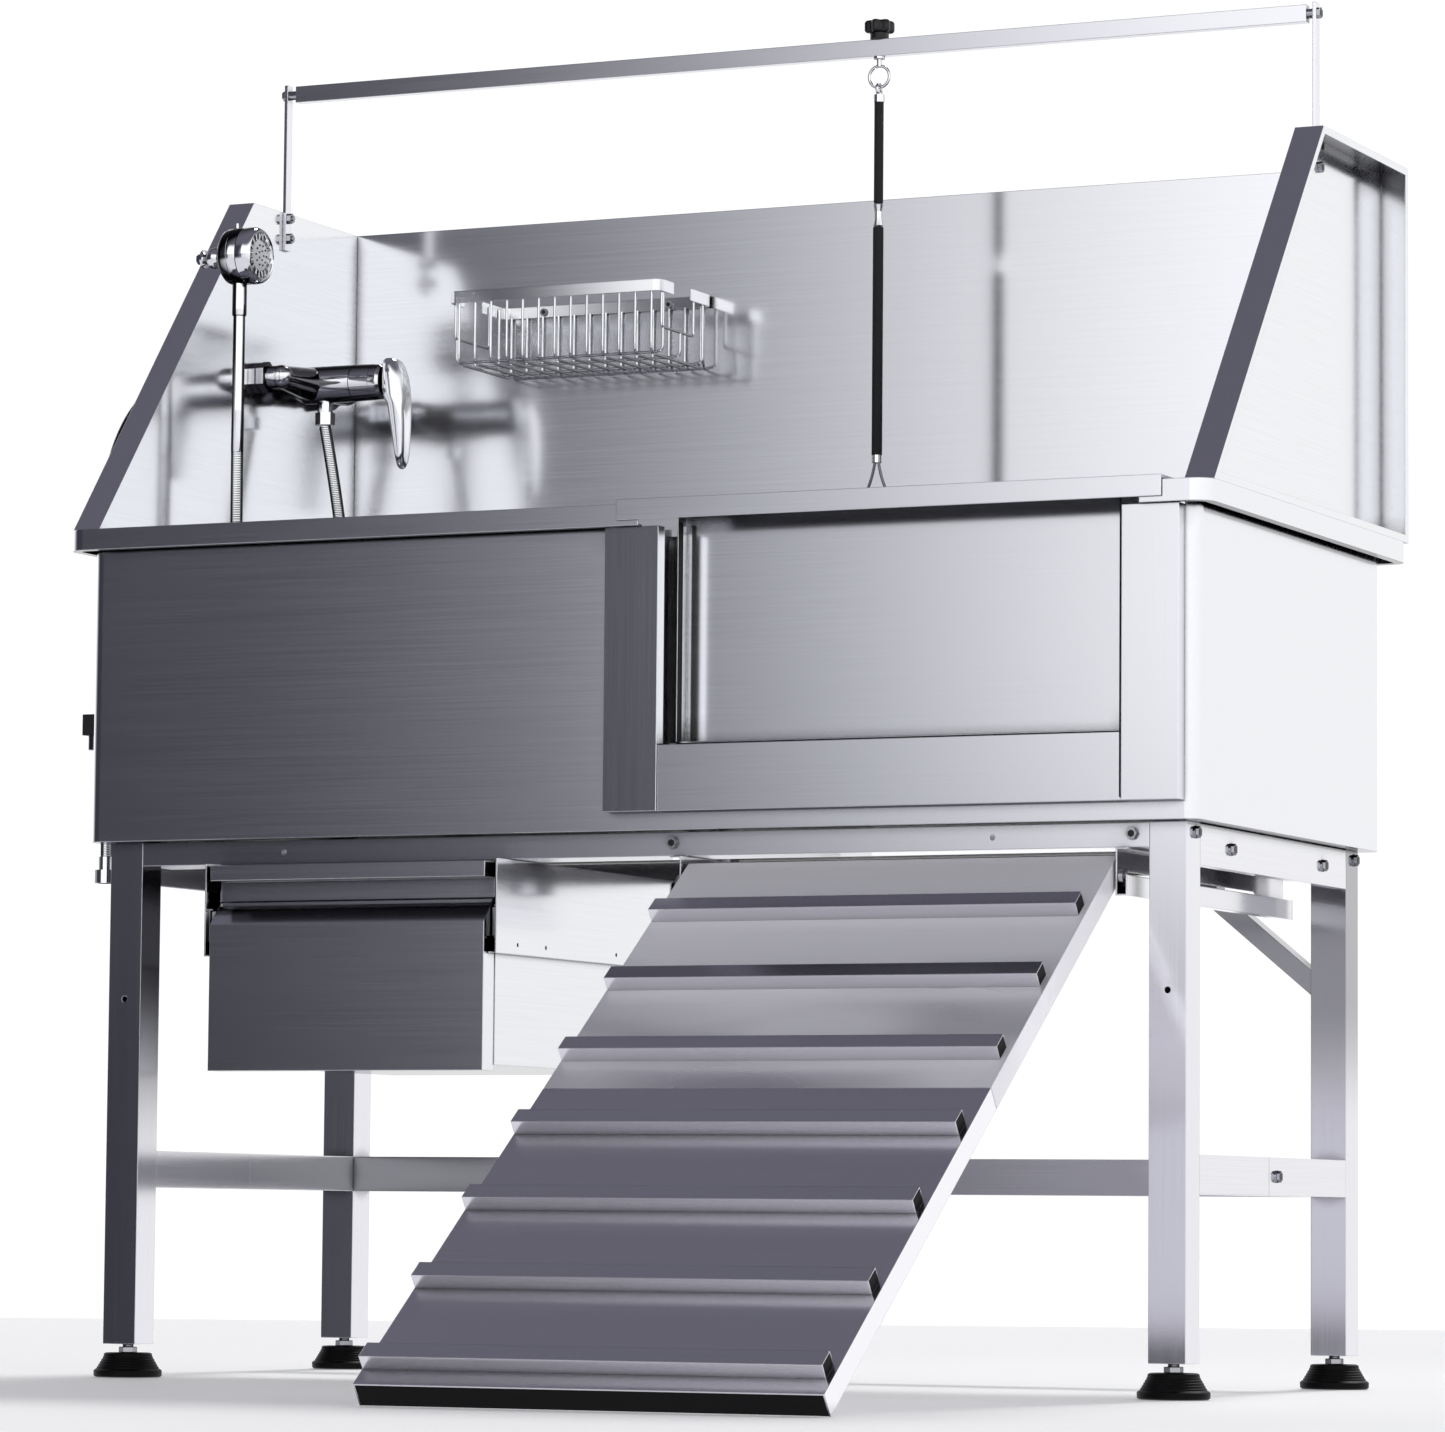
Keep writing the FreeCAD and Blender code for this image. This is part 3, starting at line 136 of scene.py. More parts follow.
# ---- materials ----
class Graph:
    """Short way to write a node material."""

    def __init__(self, name):
        self.material = bpy.data.materials.new(name)
        self.material.use_nodes = True
        self.tree = self.material.node_tree
        self.tree.nodes.clear()
        self.out = self.tree.nodes.new("ShaderNodeOutputMaterial")
        self.shader = self.tree.nodes.new("ShaderNodeBsdfPrincipled")
        self.tree.links.new(self.shader.outputs[0], self.out.inputs["Surface"])
        self.coords = self.tree.nodes.new("ShaderNodeTexCoord").outputs["Object"]

    def node(self, kind, **values):
        made = self.tree.nodes.new(kind)
        for key, value in values.items():
            setattr(made, key, value)
        return made

    def link(self, source, target):
        self.tree.links.new(source, target)

    def set(self, **values):
        for key, value in values.items():
            self.shader.inputs[key.replace("_", " ")].default_value = value

    def stretched(self, scale):
        """Object coordinates, in metres, multiplied along each axis."""
        mapping = self.node("ShaderNodeMapping")
        mapping.inputs["Scale"].default_value = scale
        self.link(self.coords, mapping.inputs["Vector"])
        return mapping.outputs["Vector"]

    def noise(self, vector, scale, detail=3.0, roughness=0.5):
        made = self.node("ShaderNodeTexNoise")
        made.inputs["Scale"].default_value = scale
        made.inputs["Detail"].default_value = detail
        made.inputs["Roughness"].default_value = roughness
        self.link(vector, made.inputs["Vector"])
        return made.outputs["Fac"]

    def ramp(self, factor, low, high, colour_low, colour_high):
        made = self.node("ShaderNodeValToRGB")
        made.color_ramp.elements[0].position = low
        made.color_ramp.elements[1].position = high
        made.color_ramp.elements[0].color = (*colour_low, 1)
        made.color_ramp.elements[1].color = (*colour_high, 1)
        self.link(factor, made.inputs["Fac"])
        return made.outputs["Color"]

    def product(self, a, b):
        made = self.node("ShaderNodeMix", data_type="RGBA", blend_type="MULTIPLY")
        made.inputs["Factor"].default_value = 1.0
        self.link(a, made.inputs["A"])
        self.link(b, made.inputs["B"])
        return made.outputs["Result"]

    def painted_gap_shade(self):
        """Painted shade: dark tone in narrow gaps and under overhangs, white where the surface is open."""
        near = self.node("ShaderNodeAmbientOcclusion", samples=4)
        near.inputs["Distance"].default_value = 0.03
        return self.ramp(near.outputs["AO"], 0.3, 0.62, (0.02, 0.02, 0.022), (1, 1, 1))

    def painted_underside_shade(self):
        """Painted shade: dark tone on faces that look straight down."""
        facing = self.node("ShaderNodeTexCoord")
        split = self.node("ShaderNodeSeparateXYZ")
        turned = self.node("ShaderNodeMath", operation="MULTIPLY")
        turned.inputs[1].default_value = -1.0
        self.link(facing.outputs["Normal"], split.inputs[0])
        self.link(split.outputs["Z"], turned.inputs[0])
        return self.ramp(turned.outputs[0], 0.75, 0.9, (1, 1, 1), (0.05, 0.05, 0.055))

    def along(self, axis, low, high, tone_low, tone_high):
        """Tone that changes evenly from low to high, in metres along one axis of the row frame."""
        split = self.node("ShaderNodeSeparateXYZ")
        place = self.node("ShaderNodeMapRange", interpolation_type="SMOOTHSTEP")
        place.inputs["From Min"].default_value = low
        place.inputs["From Max"].default_value = high
        self.link(self.coords, split.inputs[0])
        self.link(split.outputs[axis], place.inputs["Value"])
        return self.ramp(place.outputs["Result"], 0.0, 1.0, (tone_low,) * 3, (tone_high,) * 3)

    def range(self, factor, low, high):
        made = self.node("ShaderNodeMapRange")
        made.inputs["To Min"].default_value = low
        made.inputs["To Max"].default_value = high
        self.link(factor, made.inputs["Value"])
        return made.outputs["Result"]

    def bump(self, height, distance, strength=1.0, edge=0.0, lean=0.0):
        made = self.node("ShaderNodeBump")
        made.inputs["Distance"].default_value = distance
        made.inputs["Strength"].default_value = strength
        self.link(height, made.inputs["Height"])
        if edge:
            bevel = self.node("ShaderNodeBevel")
            bevel.samples = 4
            bevel.inputs["Radius"].default_value = edge
            turned = self.node("ShaderNodeVectorMath", operation="ADD")
            turned.inputs[1].default_value = (-lean, 0, 0)
            unit = self.node("ShaderNodeVectorMath", operation="NORMALIZE")
            self.link(bevel.outputs["Normal"], turned.inputs[0])
            self.link(turned.outputs["Vector"], unit.inputs[0])
            self.link(unit.outputs["Vector"], made.inputs["Normal"])
        self.link(made.outputs["Normal"], self.shader.inputs["Normal"])


def brushed(name, colour, roughness, grain, edge=0.0012, lean=0.0, under=False, painted_shade_fade=None):
    """Stainless sheet brushed along one axis: fine streaks in tone, roughness and height, with painted shade in narrow
    gaps and under overhangs.

    lean turns the faces slightly towards -X, as a sheet folded a little out of square does. under adds painted
    shade on the faces that look down, and fade is an axis, two places on it and the tone of painted shade at each.
    """
    graph = Graph(name)
    along = {"X": (6, 700, 700), "Y": (700, 6, 700), "Z": (700, 700, 6), "R": (5, 320, 320)}[grain]
    streaks = graph.noise(graph.stretched(along), 1.0, 2.0)
    clouds = graph.noise(graph.stretched((3, 3, 3)), 1.0, 2.0)
    dark = tuple(c * 0.96 for c in colour)
    # painted shade in gaps and under overhangs darkens the streaked tone
    tone = graph.product(graph.ramp(streaks, 0.3, 0.7, dark, colour), graph.painted_gap_shade())
    # under adds painted shade on the faces that look down
    if under:
        tone = graph.product(tone, graph.painted_underside_shade())
    # fade multiplies in painted shade that changes along one axis
    if painted_shade_fade:
        tone = graph.product(tone, graph.along(*painted_shade_fade))
    graph.link(tone, graph.shader.inputs["Base Color"])
    mix = graph.node("ShaderNodeMath", operation="ADD")
    graph.link(graph.range(streaks, roughness - 0.02, roughness + 0.02), mix.inputs[0])
    graph.link(graph.range(clouds, -0.012, 0.012), mix.inputs[1])
    graph.link(mix.outputs[0], graph.shader.inputs["Roughness"])
    graph.set(Metallic=1.0)
    graph.bump(streaks, 0.00002, 0.12, edge, lean)
    return graph.material


def shaded_side(name, colour, low, high):
    """Satin tube whose +X side is darkened towards its top, where the basin and the rails overhang it."""
    material = brushed(name, colour, 0.13, "Z")
    tree = material.node_tree
    shader = next(n for n in tree.nodes if n.type == "BSDF_PRINCIPLED")
    base = shader.inputs["Base Color"].links[0].from_socket
    geometry = tree.nodes.new("ShaderNodeNewGeometry")
    normal = tree.nodes.new("ShaderNodeSeparateXYZ")
    place = tree.nodes.new("ShaderNodeSeparateXYZ")
    tree.links.new(geometry.outputs["True Normal"], normal.inputs[0])
    tree.links.new(geometry.outputs["Position"], place.inputs[0])
    side = tree.nodes.new("ShaderNodeMath")
    side.operation = "GREATER_THAN"
    side.inputs[1].default_value = 0.5
    tree.links.new(normal.outputs["X"], side.inputs[0])
    painted_shade_fade = tree.nodes.new("ShaderNodeMapRange")
    painted_shade_fade.interpolation_type = "SMOOTHSTEP"
    painted_shade_fade.inputs["From Min"].default_value = low
    painted_shade_fade.inputs["From Max"].default_value = high
    tree.links.new(place.outputs["Z"], painted_shade_fade.inputs["Value"])
    amount = tree.nodes.new("ShaderNodeMath")
    amount.operation = "MULTIPLY"
    tree.links.new(side.outputs[0], amount.inputs[0])
    tree.links.new(painted_shade_fade.outputs["Result"], amount.inputs[1])
    mix = tree.nodes.new("ShaderNodeMix")
    mix.data_type = "RGBA"
    mix.inputs["B"].default_value = (0.015, 0.015, 0.02, 1)
    tree.links.new(amount.outputs[0], mix.inputs["Factor"])
    tree.links.new(base, mix.inputs["A"])
    tree.links.new(mix.outputs["Result"], shader.inputs["Base Color"])
    return material


def cloudy(name, colour):
    """Sheet with a lighter, patchy satin, most of all towards its upper end: patches where the metal gives way to a
    pale plain finish stand in for blurred reflections, a painted reflection.
    """
    graph = Graph(name)
    patches = graph.noise(graph.stretched((3.0, 7.0, 7.0)), 1.0, 2.0, 0.45)
    streaks = graph.noise(graph.stretched((6, 700, 700)), 1.0, 2.0)
    dark = tuple(c * 0.96 for c in colour)
    graph.link(graph.ramp(streaks, 0.3, 0.7, dark, colour), graph.shader.inputs["Base Color"])
    split = graph.node("ShaderNodeSeparateXYZ")
    graph.link(graph.coords, split.inputs[0])
    # painted reflection: lighter, less metallic patches, more of them towards the upper end
    rise = graph.node("ShaderNodeMapRange")
    rise.inputs["From Min"].default_value = 0.27
    rise.inputs["From Max"].default_value = 0.50
    rise.inputs["To Min"].default_value = 0.0
    rise.inputs["To Max"].default_value = 0.42
    graph.link(split.outputs["Z"], rise.inputs["Value"])
    painted_reflection_mask = graph.node("ShaderNodeMath", operation="ADD")
    graph.link(patches, painted_reflection_mask.inputs[0])
    graph.link(rise.outputs["Result"], painted_reflection_mask.inputs[1])
    graph.link(graph.ramp(painted_reflection_mask.outputs[0], 0.3, 0.72, (1, 1, 1), (0, 0, 0)), graph.shader.inputs["Metallic"])
    graph.link(graph.range(patches, 0.2, 0.4), graph.shader.inputs["Roughness"])
    graph.bump(streaks, 0.00002, 0.12, 0.0012)
    return graph.material


def chrome(name, colour, roughness=0.05, dark_from=0.35, dark_to=0.75):
    """Polished metal with painted reflection: its colour darkens as the surface turns edge on, as a dark room would
    show in it.
    """
    graph = Graph(name)
    wear = graph.noise(graph.coords, 90.0, 3.0)
    shine = graph.ramp(wear, 0.35, 0.75, tuple(c * 0.96 for c in colour), colour)
    # painted reflection: the base colour darkens as the surface turns edge on
    turned = graph.node("ShaderNodeLayerWeight")
    turned.inputs["Blend"].default_value = 0.5
    painted_edge_dark = graph.ramp(turned.outputs["Facing"], dark_from, dark_to, (1, 1, 1), (0.015, 0.015, 0.018))
    graph.link(graph.product(shine, painted_edge_dark), graph.shader.inputs["Base Color"])
    graph.link(graph.range(wear, roughness * 0.7, roughness * 1.5), graph.shader.inputs["Roughness"])
    graph.set(Metallic=1.0)
    graph.bump(wear, 0.00002, 0.3)
    return graph.material


def moulded(name, colour, roughness, grain=900.0, depth=0.00008, shine=0.5):
    graph = Graph(name)
    speck = graph.noise(graph.coords, grain, 2.0)
    broad = graph.noise(graph.coords, 25.0, 2.0)
    graph.link(graph.ramp(broad, 0.3, 0.75, colour, tuple(c * 1.5 for c in colour)), graph.shader.inputs["Base Color"])
    graph.shader.inputs["Specular IOR Level"].default_value = shine
    graph.link(graph.range(speck, roughness - 0.08, roughness + 0.08), graph.shader.inputs["Roughness"])
    graph.bump(speck, depth, 0.5)
    return graph.material


def webbing(name, colour):
    """Tight woven cover: one set of fine diagonal bands."""
    graph = Graph(name)
    weave = graph.node("ShaderNodeTexWave", wave_type="BANDS", bands_direction="DIAGONAL")
    weave.inputs["Scale"].default_value = 260.0
    weave.inputs["Distortion"].default_value = 1.5
    graph.link(graph.coords, weave.inputs["Vector"])
    graph.link(graph.ramp(weave.outputs["Fac"], 0.2, 0.9, tuple(c * 0.6 for c in colour), colour),
               graph.shader.inputs["Base Color"])
    graph.set(Roughness=0.75)
    graph.bump(weave.outputs["Fac"], 0.0004, 0.7)
    return graph.material


def wound_hose(name, colour):
    """Metal hose: fine rings of wound strip round the tube, with a painted reflection that makes it dark where it turns
    edge on.
    """
    graph = Graph(name)
    wave = graph.node("ShaderNodeTexWave", wave_type="BANDS", bands_direction="Z")
    wave.inputs["Scale"].default_value = 125.0
    graph.link(graph.coords, wave.inputs["Vector"])
    # painted reflection: the colour darkens where the tube turns edge on
    turned = graph.node("ShaderNodeLayerWeight")
    turned.inputs["Blend"].default_value = 0.5
    painted_edge_dark = graph.ramp(turned.outputs["Facing"], 0.12, 0.3, (1, 1, 1), (0.012, 0.012, 0.014))
    rings = graph.ramp(wave.outputs["Fac"], 0.05, 0.5, tuple(c * 0.6 for c in colour), colour)
    graph.link(graph.product(rings, painted_edge_dark), graph.shader.inputs["Base Color"])
    graph.set(Metallic=1.0, Roughness=0.14)
    graph.bump(wave.outputs["Fac"], 0.0006, 0.35)
    return graph.material


def make_materials():
    pale = (0.86, 0.865, 0.89)
    return {
        # under=True gives these sheets painted shade on their downward faces
        "sheet": brushed("brushed_sheet", pale, 0.14, "X", under=True),
        "side_sheet": brushed("brushed_side_sheet", pale, 0.14, "Y", under=True),
        "left_post": brushed("brushed_left_post", (0.84, 0.845, 0.87), 0.14, "Z", lean=0.025),
        "right_post": brushed("brushed_right_post", (0.86, 0.865, 0.89), 0.14, "Z"),
        "door": brushed("brushed_door", (0.88, 0.885, 0.91), 0.14, "X", lean=0.005, under=True),
        "cap": brushed("brushed_cap", pale, 0.14, "X", under=True),
        "tube": brushed("satin_tube", (0.83, 0.83, 0.87), 0.13, "Z"),
        "dark_tube": shaded_side("satin_shaded_tube", (0.83, 0.83, 0.87), 0.20, 0.42),
        # the rear right leg and rear braces get painted shade, darker towards the top
        "dim_tube": brushed("satin_rear_tube", (0.83, 0.83, 0.87), 0.13, "Z", painted_shade_fade=("Z", 0.26, 0.40, 1.0, 0.5)),
        # the rear stretcher gets a painted reflection, darker towards -X
        "stretcher": brushed("satin_stretcher", (0.84, 0.84, 0.87), 0.13, "X", painted_shade_fade=("X", -0.3, 0.3, 0.36, 0.85)),
        "rail": brushed("satin_rail", (0.84, 0.84, 0.87), 0.13, "X"),
        "cross": brushed("satin_cross_tube", (0.84, 0.84, 0.87), 0.13, "Y"),
        "deck": brushed("ramp_deck", (0.98, 0.965, 1.0), 0.2, "X"),
        "tread": brushed("ramp_tread", (0.95, 0.94, 0.98), 0.2, "X"),
        "upper_deck": cloudy("upper_ramp_deck", (0.96, 0.95, 0.99)),
        "bolt": chrome("bolt_steel", (0.5, 0.5, 0.53), 0.16),
        "chrome": chrome("polished_chrome", (0.93, 0.935, 0.95), 0.045),
        "lever": chrome("lever_chrome", (0.95, 0.955, 0.97), 0.09, 0.55, 0.85),
        "tap": chrome("tap_chrome", (0.93, 0.935, 0.95), 0.045, 0.16, 0.5),
        "handle": chrome("handset_chrome", (0.95, 0.955, 0.97), 0.05, 0.12, 0.28),
        "face": moulded("nozzle_face", (0.62, 0.63, 0.65), 0.3),
        "wire": chrome("basket_wire", (0.9, 0.905, 0.92), 0.12, 0.3, 0.7),
        "band": brushed("basket_band", (0.9, 0.905, 0.92), 0.2, "X"),
        "black": moulded("black_plastic", (0.006, 0.006, 0.007), 0.38),
        "rubber": moulded("black_rubber", (0.002, 0.002, 0.0022), 0.5, 500.0, shine=0.12),
        "webbing": webbing("woven_black", (0.02, 0.02, 0.022)),
        "noose": chrome("coated_wire", (0.25, 0.26, 0.28), 0.3),
        "hose": wound_hose("wound_metal_hose", (0.86, 0.865, 0.88)),
        "zinc": brushed("zinc_slide", (0.62, 0.63, 0.66), 0.35, "Y"),
    }


NODE_MATERIALS = {
    "door": ("door_panel", "door_sill"),
    "sheet": ("tub_shell", "backsplash_panel", "drawer_front"),
    "cap": ("door_cap", "top_rim"),
    "side_sheet": ("splash_panel_left", "splash_panel_right", "drawer_housing", "drawer_box"),
    "left_post": ("door_post_left",),
    "right_post": ("door_post_right",),
    "dark_tube": ("leg_front_left",),
    "tube": ("leg_front_right", "leg_rear_left", "arm_uprights"),
    "dim_tube": ("leg_rear_right", "rear_braces"),
    "stretcher": ("rear_stretcher",),
    "rail": ("front_rail", "rear_rail", "overhead_bar"),
    "cross": ("end_rails", "end_stretchers", "ramp_tracks"),
    "deck": ("ramp_lower_deck",),
    "tread": ("ramp_treads_upper", "ramp_treads_lower"),
    "upper_deck": ("ramp_upper_deck",),
    "bolt": ("fasteners", "ramp_axle", "fold_hinge_pins"),
    "chrome": ("mixer_shanks", "shower_holder", "eye_bolt", "drain_fitting", "tether_ferrules",
               "supply_connector"),
    "tap": ("mixer_body", "mixer_nuts", "lever_collar"),
    "black": ("overflow_elbow",),
    "rubber": ("door_seal", "ramp_foot_strip"),
    "zinc": ("slide_rails_fixed", "slide_rails_moving"),
}


def dress_nodes(materials):
    for key, nodes in NODE_MATERIALS.items():
        for node in nodes:
            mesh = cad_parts[node].data
            mesh.materials.clear()
            mesh.materials.append(materials[key])


# ---- mesh helpers ----
def place_mesh(name, shape, material, body, sharp=35.0):
    """Makes an object from a bmesh in the row frame and lets it ride on a body."""
    bmesh.ops.recalc_face_normals(shape, faces=shape.faces)
    mesh = bpy.data.meshes.new(name)
    shape.to_mesh(mesh)
    shape.free()
    mesh.shade_smooth()
    mesh.set_sharp_from_angle(angle=math.radians(sharp))
    mesh.materials.append(material)
    piece = bpy.data.objects.new(name, mesh)
    bpy.context.scene.collection.objects.link(piece)
    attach(piece, body)
    return piece


def bridge(shape, rings):
    """Joins rings of points into a skin; a ring of one point is a pole."""
    made = [[shape.verts.new(point) for point in ring] for ring in rings]
    for a, b in zip(made, made[1:]):
        count = max(len(a), len(b))
        for k in range(count):
            n = (k + 1) % count
            if len(a) == 1:
                shape.faces.new((a[0], b[k], b[n]))
            elif len(b) == 1:
                shape.faces.new((a[k], b[0], a[n]))
            else:
                shape.faces.new((a[k], b[k], b[n], a[n]))


def lathe(shape, profile, centre, axis, steps=48, lobes=0, depth=0.0):
    """Adds a solid of revolution; profile is (distance along the axis, radius), with lobes as on a star knob."""
    a = Vector(axis)
    side = Vector((0, 1, 0)) if abs(a.y) < 0.5 else Vector((0, 0, 1))
    other = a.cross(side)
    rings = []
    for distance, radius in profile:
        middle = at(*centre) + a * (distance / 1000)
        if radius == 0:
            rings.append([middle])
            continue
        ring = []
        for k in range(steps):
            turn = 2 * math.pi * k / steps
            r = (radius + depth * math.cos(lobes * turn)) / 1000 if lobes else radius / 1000
            ring.append(middle + side * (r * math.cos(turn)) + other * (r * math.sin(turn)))
        rings.append(ring)
    bridge(shape, rings)


def slab(shape, x0, x1, y0, y1, z0, z1):
    """Adds a box in the work frame."""
    corners = [shape.verts.new(at(x, y, z)) for x in (x0, x1) for y in (y0, y1) for z in (z0, z1)]
    for face in ((0, 1, 3, 2), (4, 6, 7, 5), (0, 4, 5, 1), (2, 3, 7, 6), (0, 2, 6, 4), (1, 5, 7, 3)):
        shape.faces.new([corners[k] for k in face])


def wires(name, paths, radius, material, body):
    """Bent wires as one piece: each path is a list of points in the work frame."""
    data = bpy.data.curves.new(name, "CURVE")
    data.dimensions = "3D"
    data.resolution_u = 8
    data.bevel_depth = radius / 1000
    data.bevel_resolution = 3
    data.use_fill_caps = True
    for path in paths:
        spline = data.splines.new("NURBS")
        spline.points.add(len(path) - 1)
        for point, place in zip(spline.points, path):
            point.co = (*at(*place), 1.0)
        spline.order_u = 3
        spline.use_endpoint_u = True
    data.materials.append(material)
    piece = bpy.data.objects.new(name, data)
    bpy.context.scene.collection.objects.link(piece)
    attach(piece, body)
    return piece


# ---- detailed pieces ----
HEAD = (0.0, 203.0, 1198.0)         # axis of the handset's head
HANDLE_X, HANDLE_Z = 57.0, 985.0    # handle of the handset
LEVER_X, TAP_Y, TAP_Z = 134.4, 393.0, 1083.5
BASKET_X0, BASKET_X1 = 199.0, 457.0
BASKET_Y0, BASKET_Y1 = 417.0, 551.3
BASKET_Z0, BASKET_Z1 = 1101.0, 1183.0
FEET = {"foot_front_left": "foot_fl", "foot_front_right": "foot_fr", "foot_rear_left": "foot_rl",
        "foot_rear_right": "foot_rr"}


def make_lever(materials):
    """Curved single lever: flat sections from the top of the head down to the thin tip."""
    sections = [(25.0, 7.0, 9.0, 3.0), (24.3, 3.0, 14.0, 10.0), (22.0, 1.0, 17.5, 13.5), (16.0, 0.2, 21.0, 15.8),
                (4.0, 0.1, 25.4, 17.0), (-8.0, 0.1, 27.8, 17.0), (-18.0, 1.2, 28.8, 16.8), (-26.0, 6.6, 29.3, 16.3),
                (-38.0, 8.8, 29.6, 15.4), (-52.0, 11.2, 29.6, 14.0), (-66.0, 13.4, 29.2, 12.6),
                (-80.0, 15.6, 28.6, 11.2), (-90.0, 17.4, 27.0, 9.6), (-95.5, 18.8, 25.0, 7.0), (-97.8, 20.4, 23.2, 3.0)]
    rings = []
    steps, power = 32, 2 / 2.7
    for z, inner, outer, half in sections:
        ring = []
        for k in range(steps):
            turn = 2 * math.pi * k / steps
            c, s = math.cos(turn), math.sin(turn)
            x = (inner + outer) / 2 + (outer - inner) / 2 * math.copysign(abs(c) ** power, c)
            y = half * math.copysign(abs(s) ** power, s)
            ring.append(at(LEVER_X + x, TAP_Y + y, TAP_Z + z))
        rings.append(ring)
    first, last = sections[0], sections[-1]
    rings.insert(0, [at(LEVER_X + (first[1] + first[2]) / 2, TAP_Y, TAP_Z + first[0])])
    rings.append([at(LEVER_X + (last[1] + last[2]) / 2, TAP_Y, TAP_Z + last[0])])
    shape = bmesh.new()
    bridge(shape, rings)
    lever = place_mesh("lever_blade", shape, materials["lever"], "lever", 80.0)
    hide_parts("mixer_lever")


def make_handset(materials):
    """Round head on a ball joint, with a ribbed nozzle ring, and a straight handle with a collar."""
    shape = bmesh.new()
    lathe(shape, [(34.6, 0), (34.6, 9.5), (36, 11.5), (39, 13.5), (41, 16), (42, 22), (43.2, 26.5), (45.5, 29.3),
                  (49, 30.5), (55.6, 30.8), (56, 30.2), (56.6, 30.2), (57, 30.8), (64, 30.7), (66, 29.6), (66, 0)],
          HEAD, (1, 0, 0), 64)
    x, y, z = HANDLE_X, HEAD[1], HEAD[2]
    lathe(shape, [(0, 0), (0, 2.2), (5, 2.4), (7, 2.0), (7.6, 0)], (x - 4, y, z + 29.5), (0, 0, 1), 20)
    lathe(shape, [(0, 0), (0, 6.4), (1.2, 6.9), (60, 6.7), (148, 6.5), (149, 7.6), (151, 7.9), (190, 7.9), (193, 7.2),
                  (193, 0)], (x, y, HANDLE_Z), (0, 0, 1), 40)
    body = place_mesh("handset_shell", shape, materials["handle"], "handset")
    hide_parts("handset_body")

    ring = bmesh.new()
    lathe(ring, [(66.3, 0), (66.3, 29.4), (67.5, 30.6), (75, 30.9), (80, 30.2), (83, 28.2), (83.9, 26.2), (83.2, 24.6),
                 (80, 23.4), (80, 0)], HEAD, (1, 0, 0), 64)
    ribs = 18
    for k in range(ribs):
        turn = 2 * math.pi * k / ribs
        out = Vector((0, math.cos(turn), math.sin(turn)))
        across = Vector((0, -math.sin(turn), math.cos(turn)))
        inner, outer = [], []
        for r, group in ((17.0, inner), (24.0, outer)):
            for side, depth in ((-0.9, 79.8), (-0.6, 82.6), (0.6, 82.6), (0.9, 79.8)):
                group.append(at(depth, HEAD[1], HEAD[2]) + (out * r + across * side) / 1000)
        bridge(ring, [[sum(inner, Vector()) / 4], inner, outer, [sum(outer, Vector()) / 4]])
    dial = place_mesh("spray_ring", ring, materials["chrome"], "spray_face")
    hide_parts("spray_dial")

    face = bmesh.new()
    lathe(face, [(79.9, 0), (79.9, 16.4), (81.6, 16.4), (82.4, 15), (82.8, 8), (83, 0)], HEAD, (1, 0, 0), 48)
    place_mesh("nozzle_plate", face, materials["face"], "spray_face")
    nozzles = bmesh.new()
    for radius, count in ((5.0, 5), (11.0, 10)):
        for k in range(count):
            turn = 2 * math.pi * k / count
            lathe(nozzles, [(82.0, 0), (82.0, 1.3), (83.7, 0.9), (83.7, 0)],
                  (0, HEAD[1] + radius * math.cos(turn), HEAD[2] + radius * math.sin(turn)), (1, 0, 0), 10)
    place_mesh("spray_nozzles", nozzles, materials["black"], "spray_face")


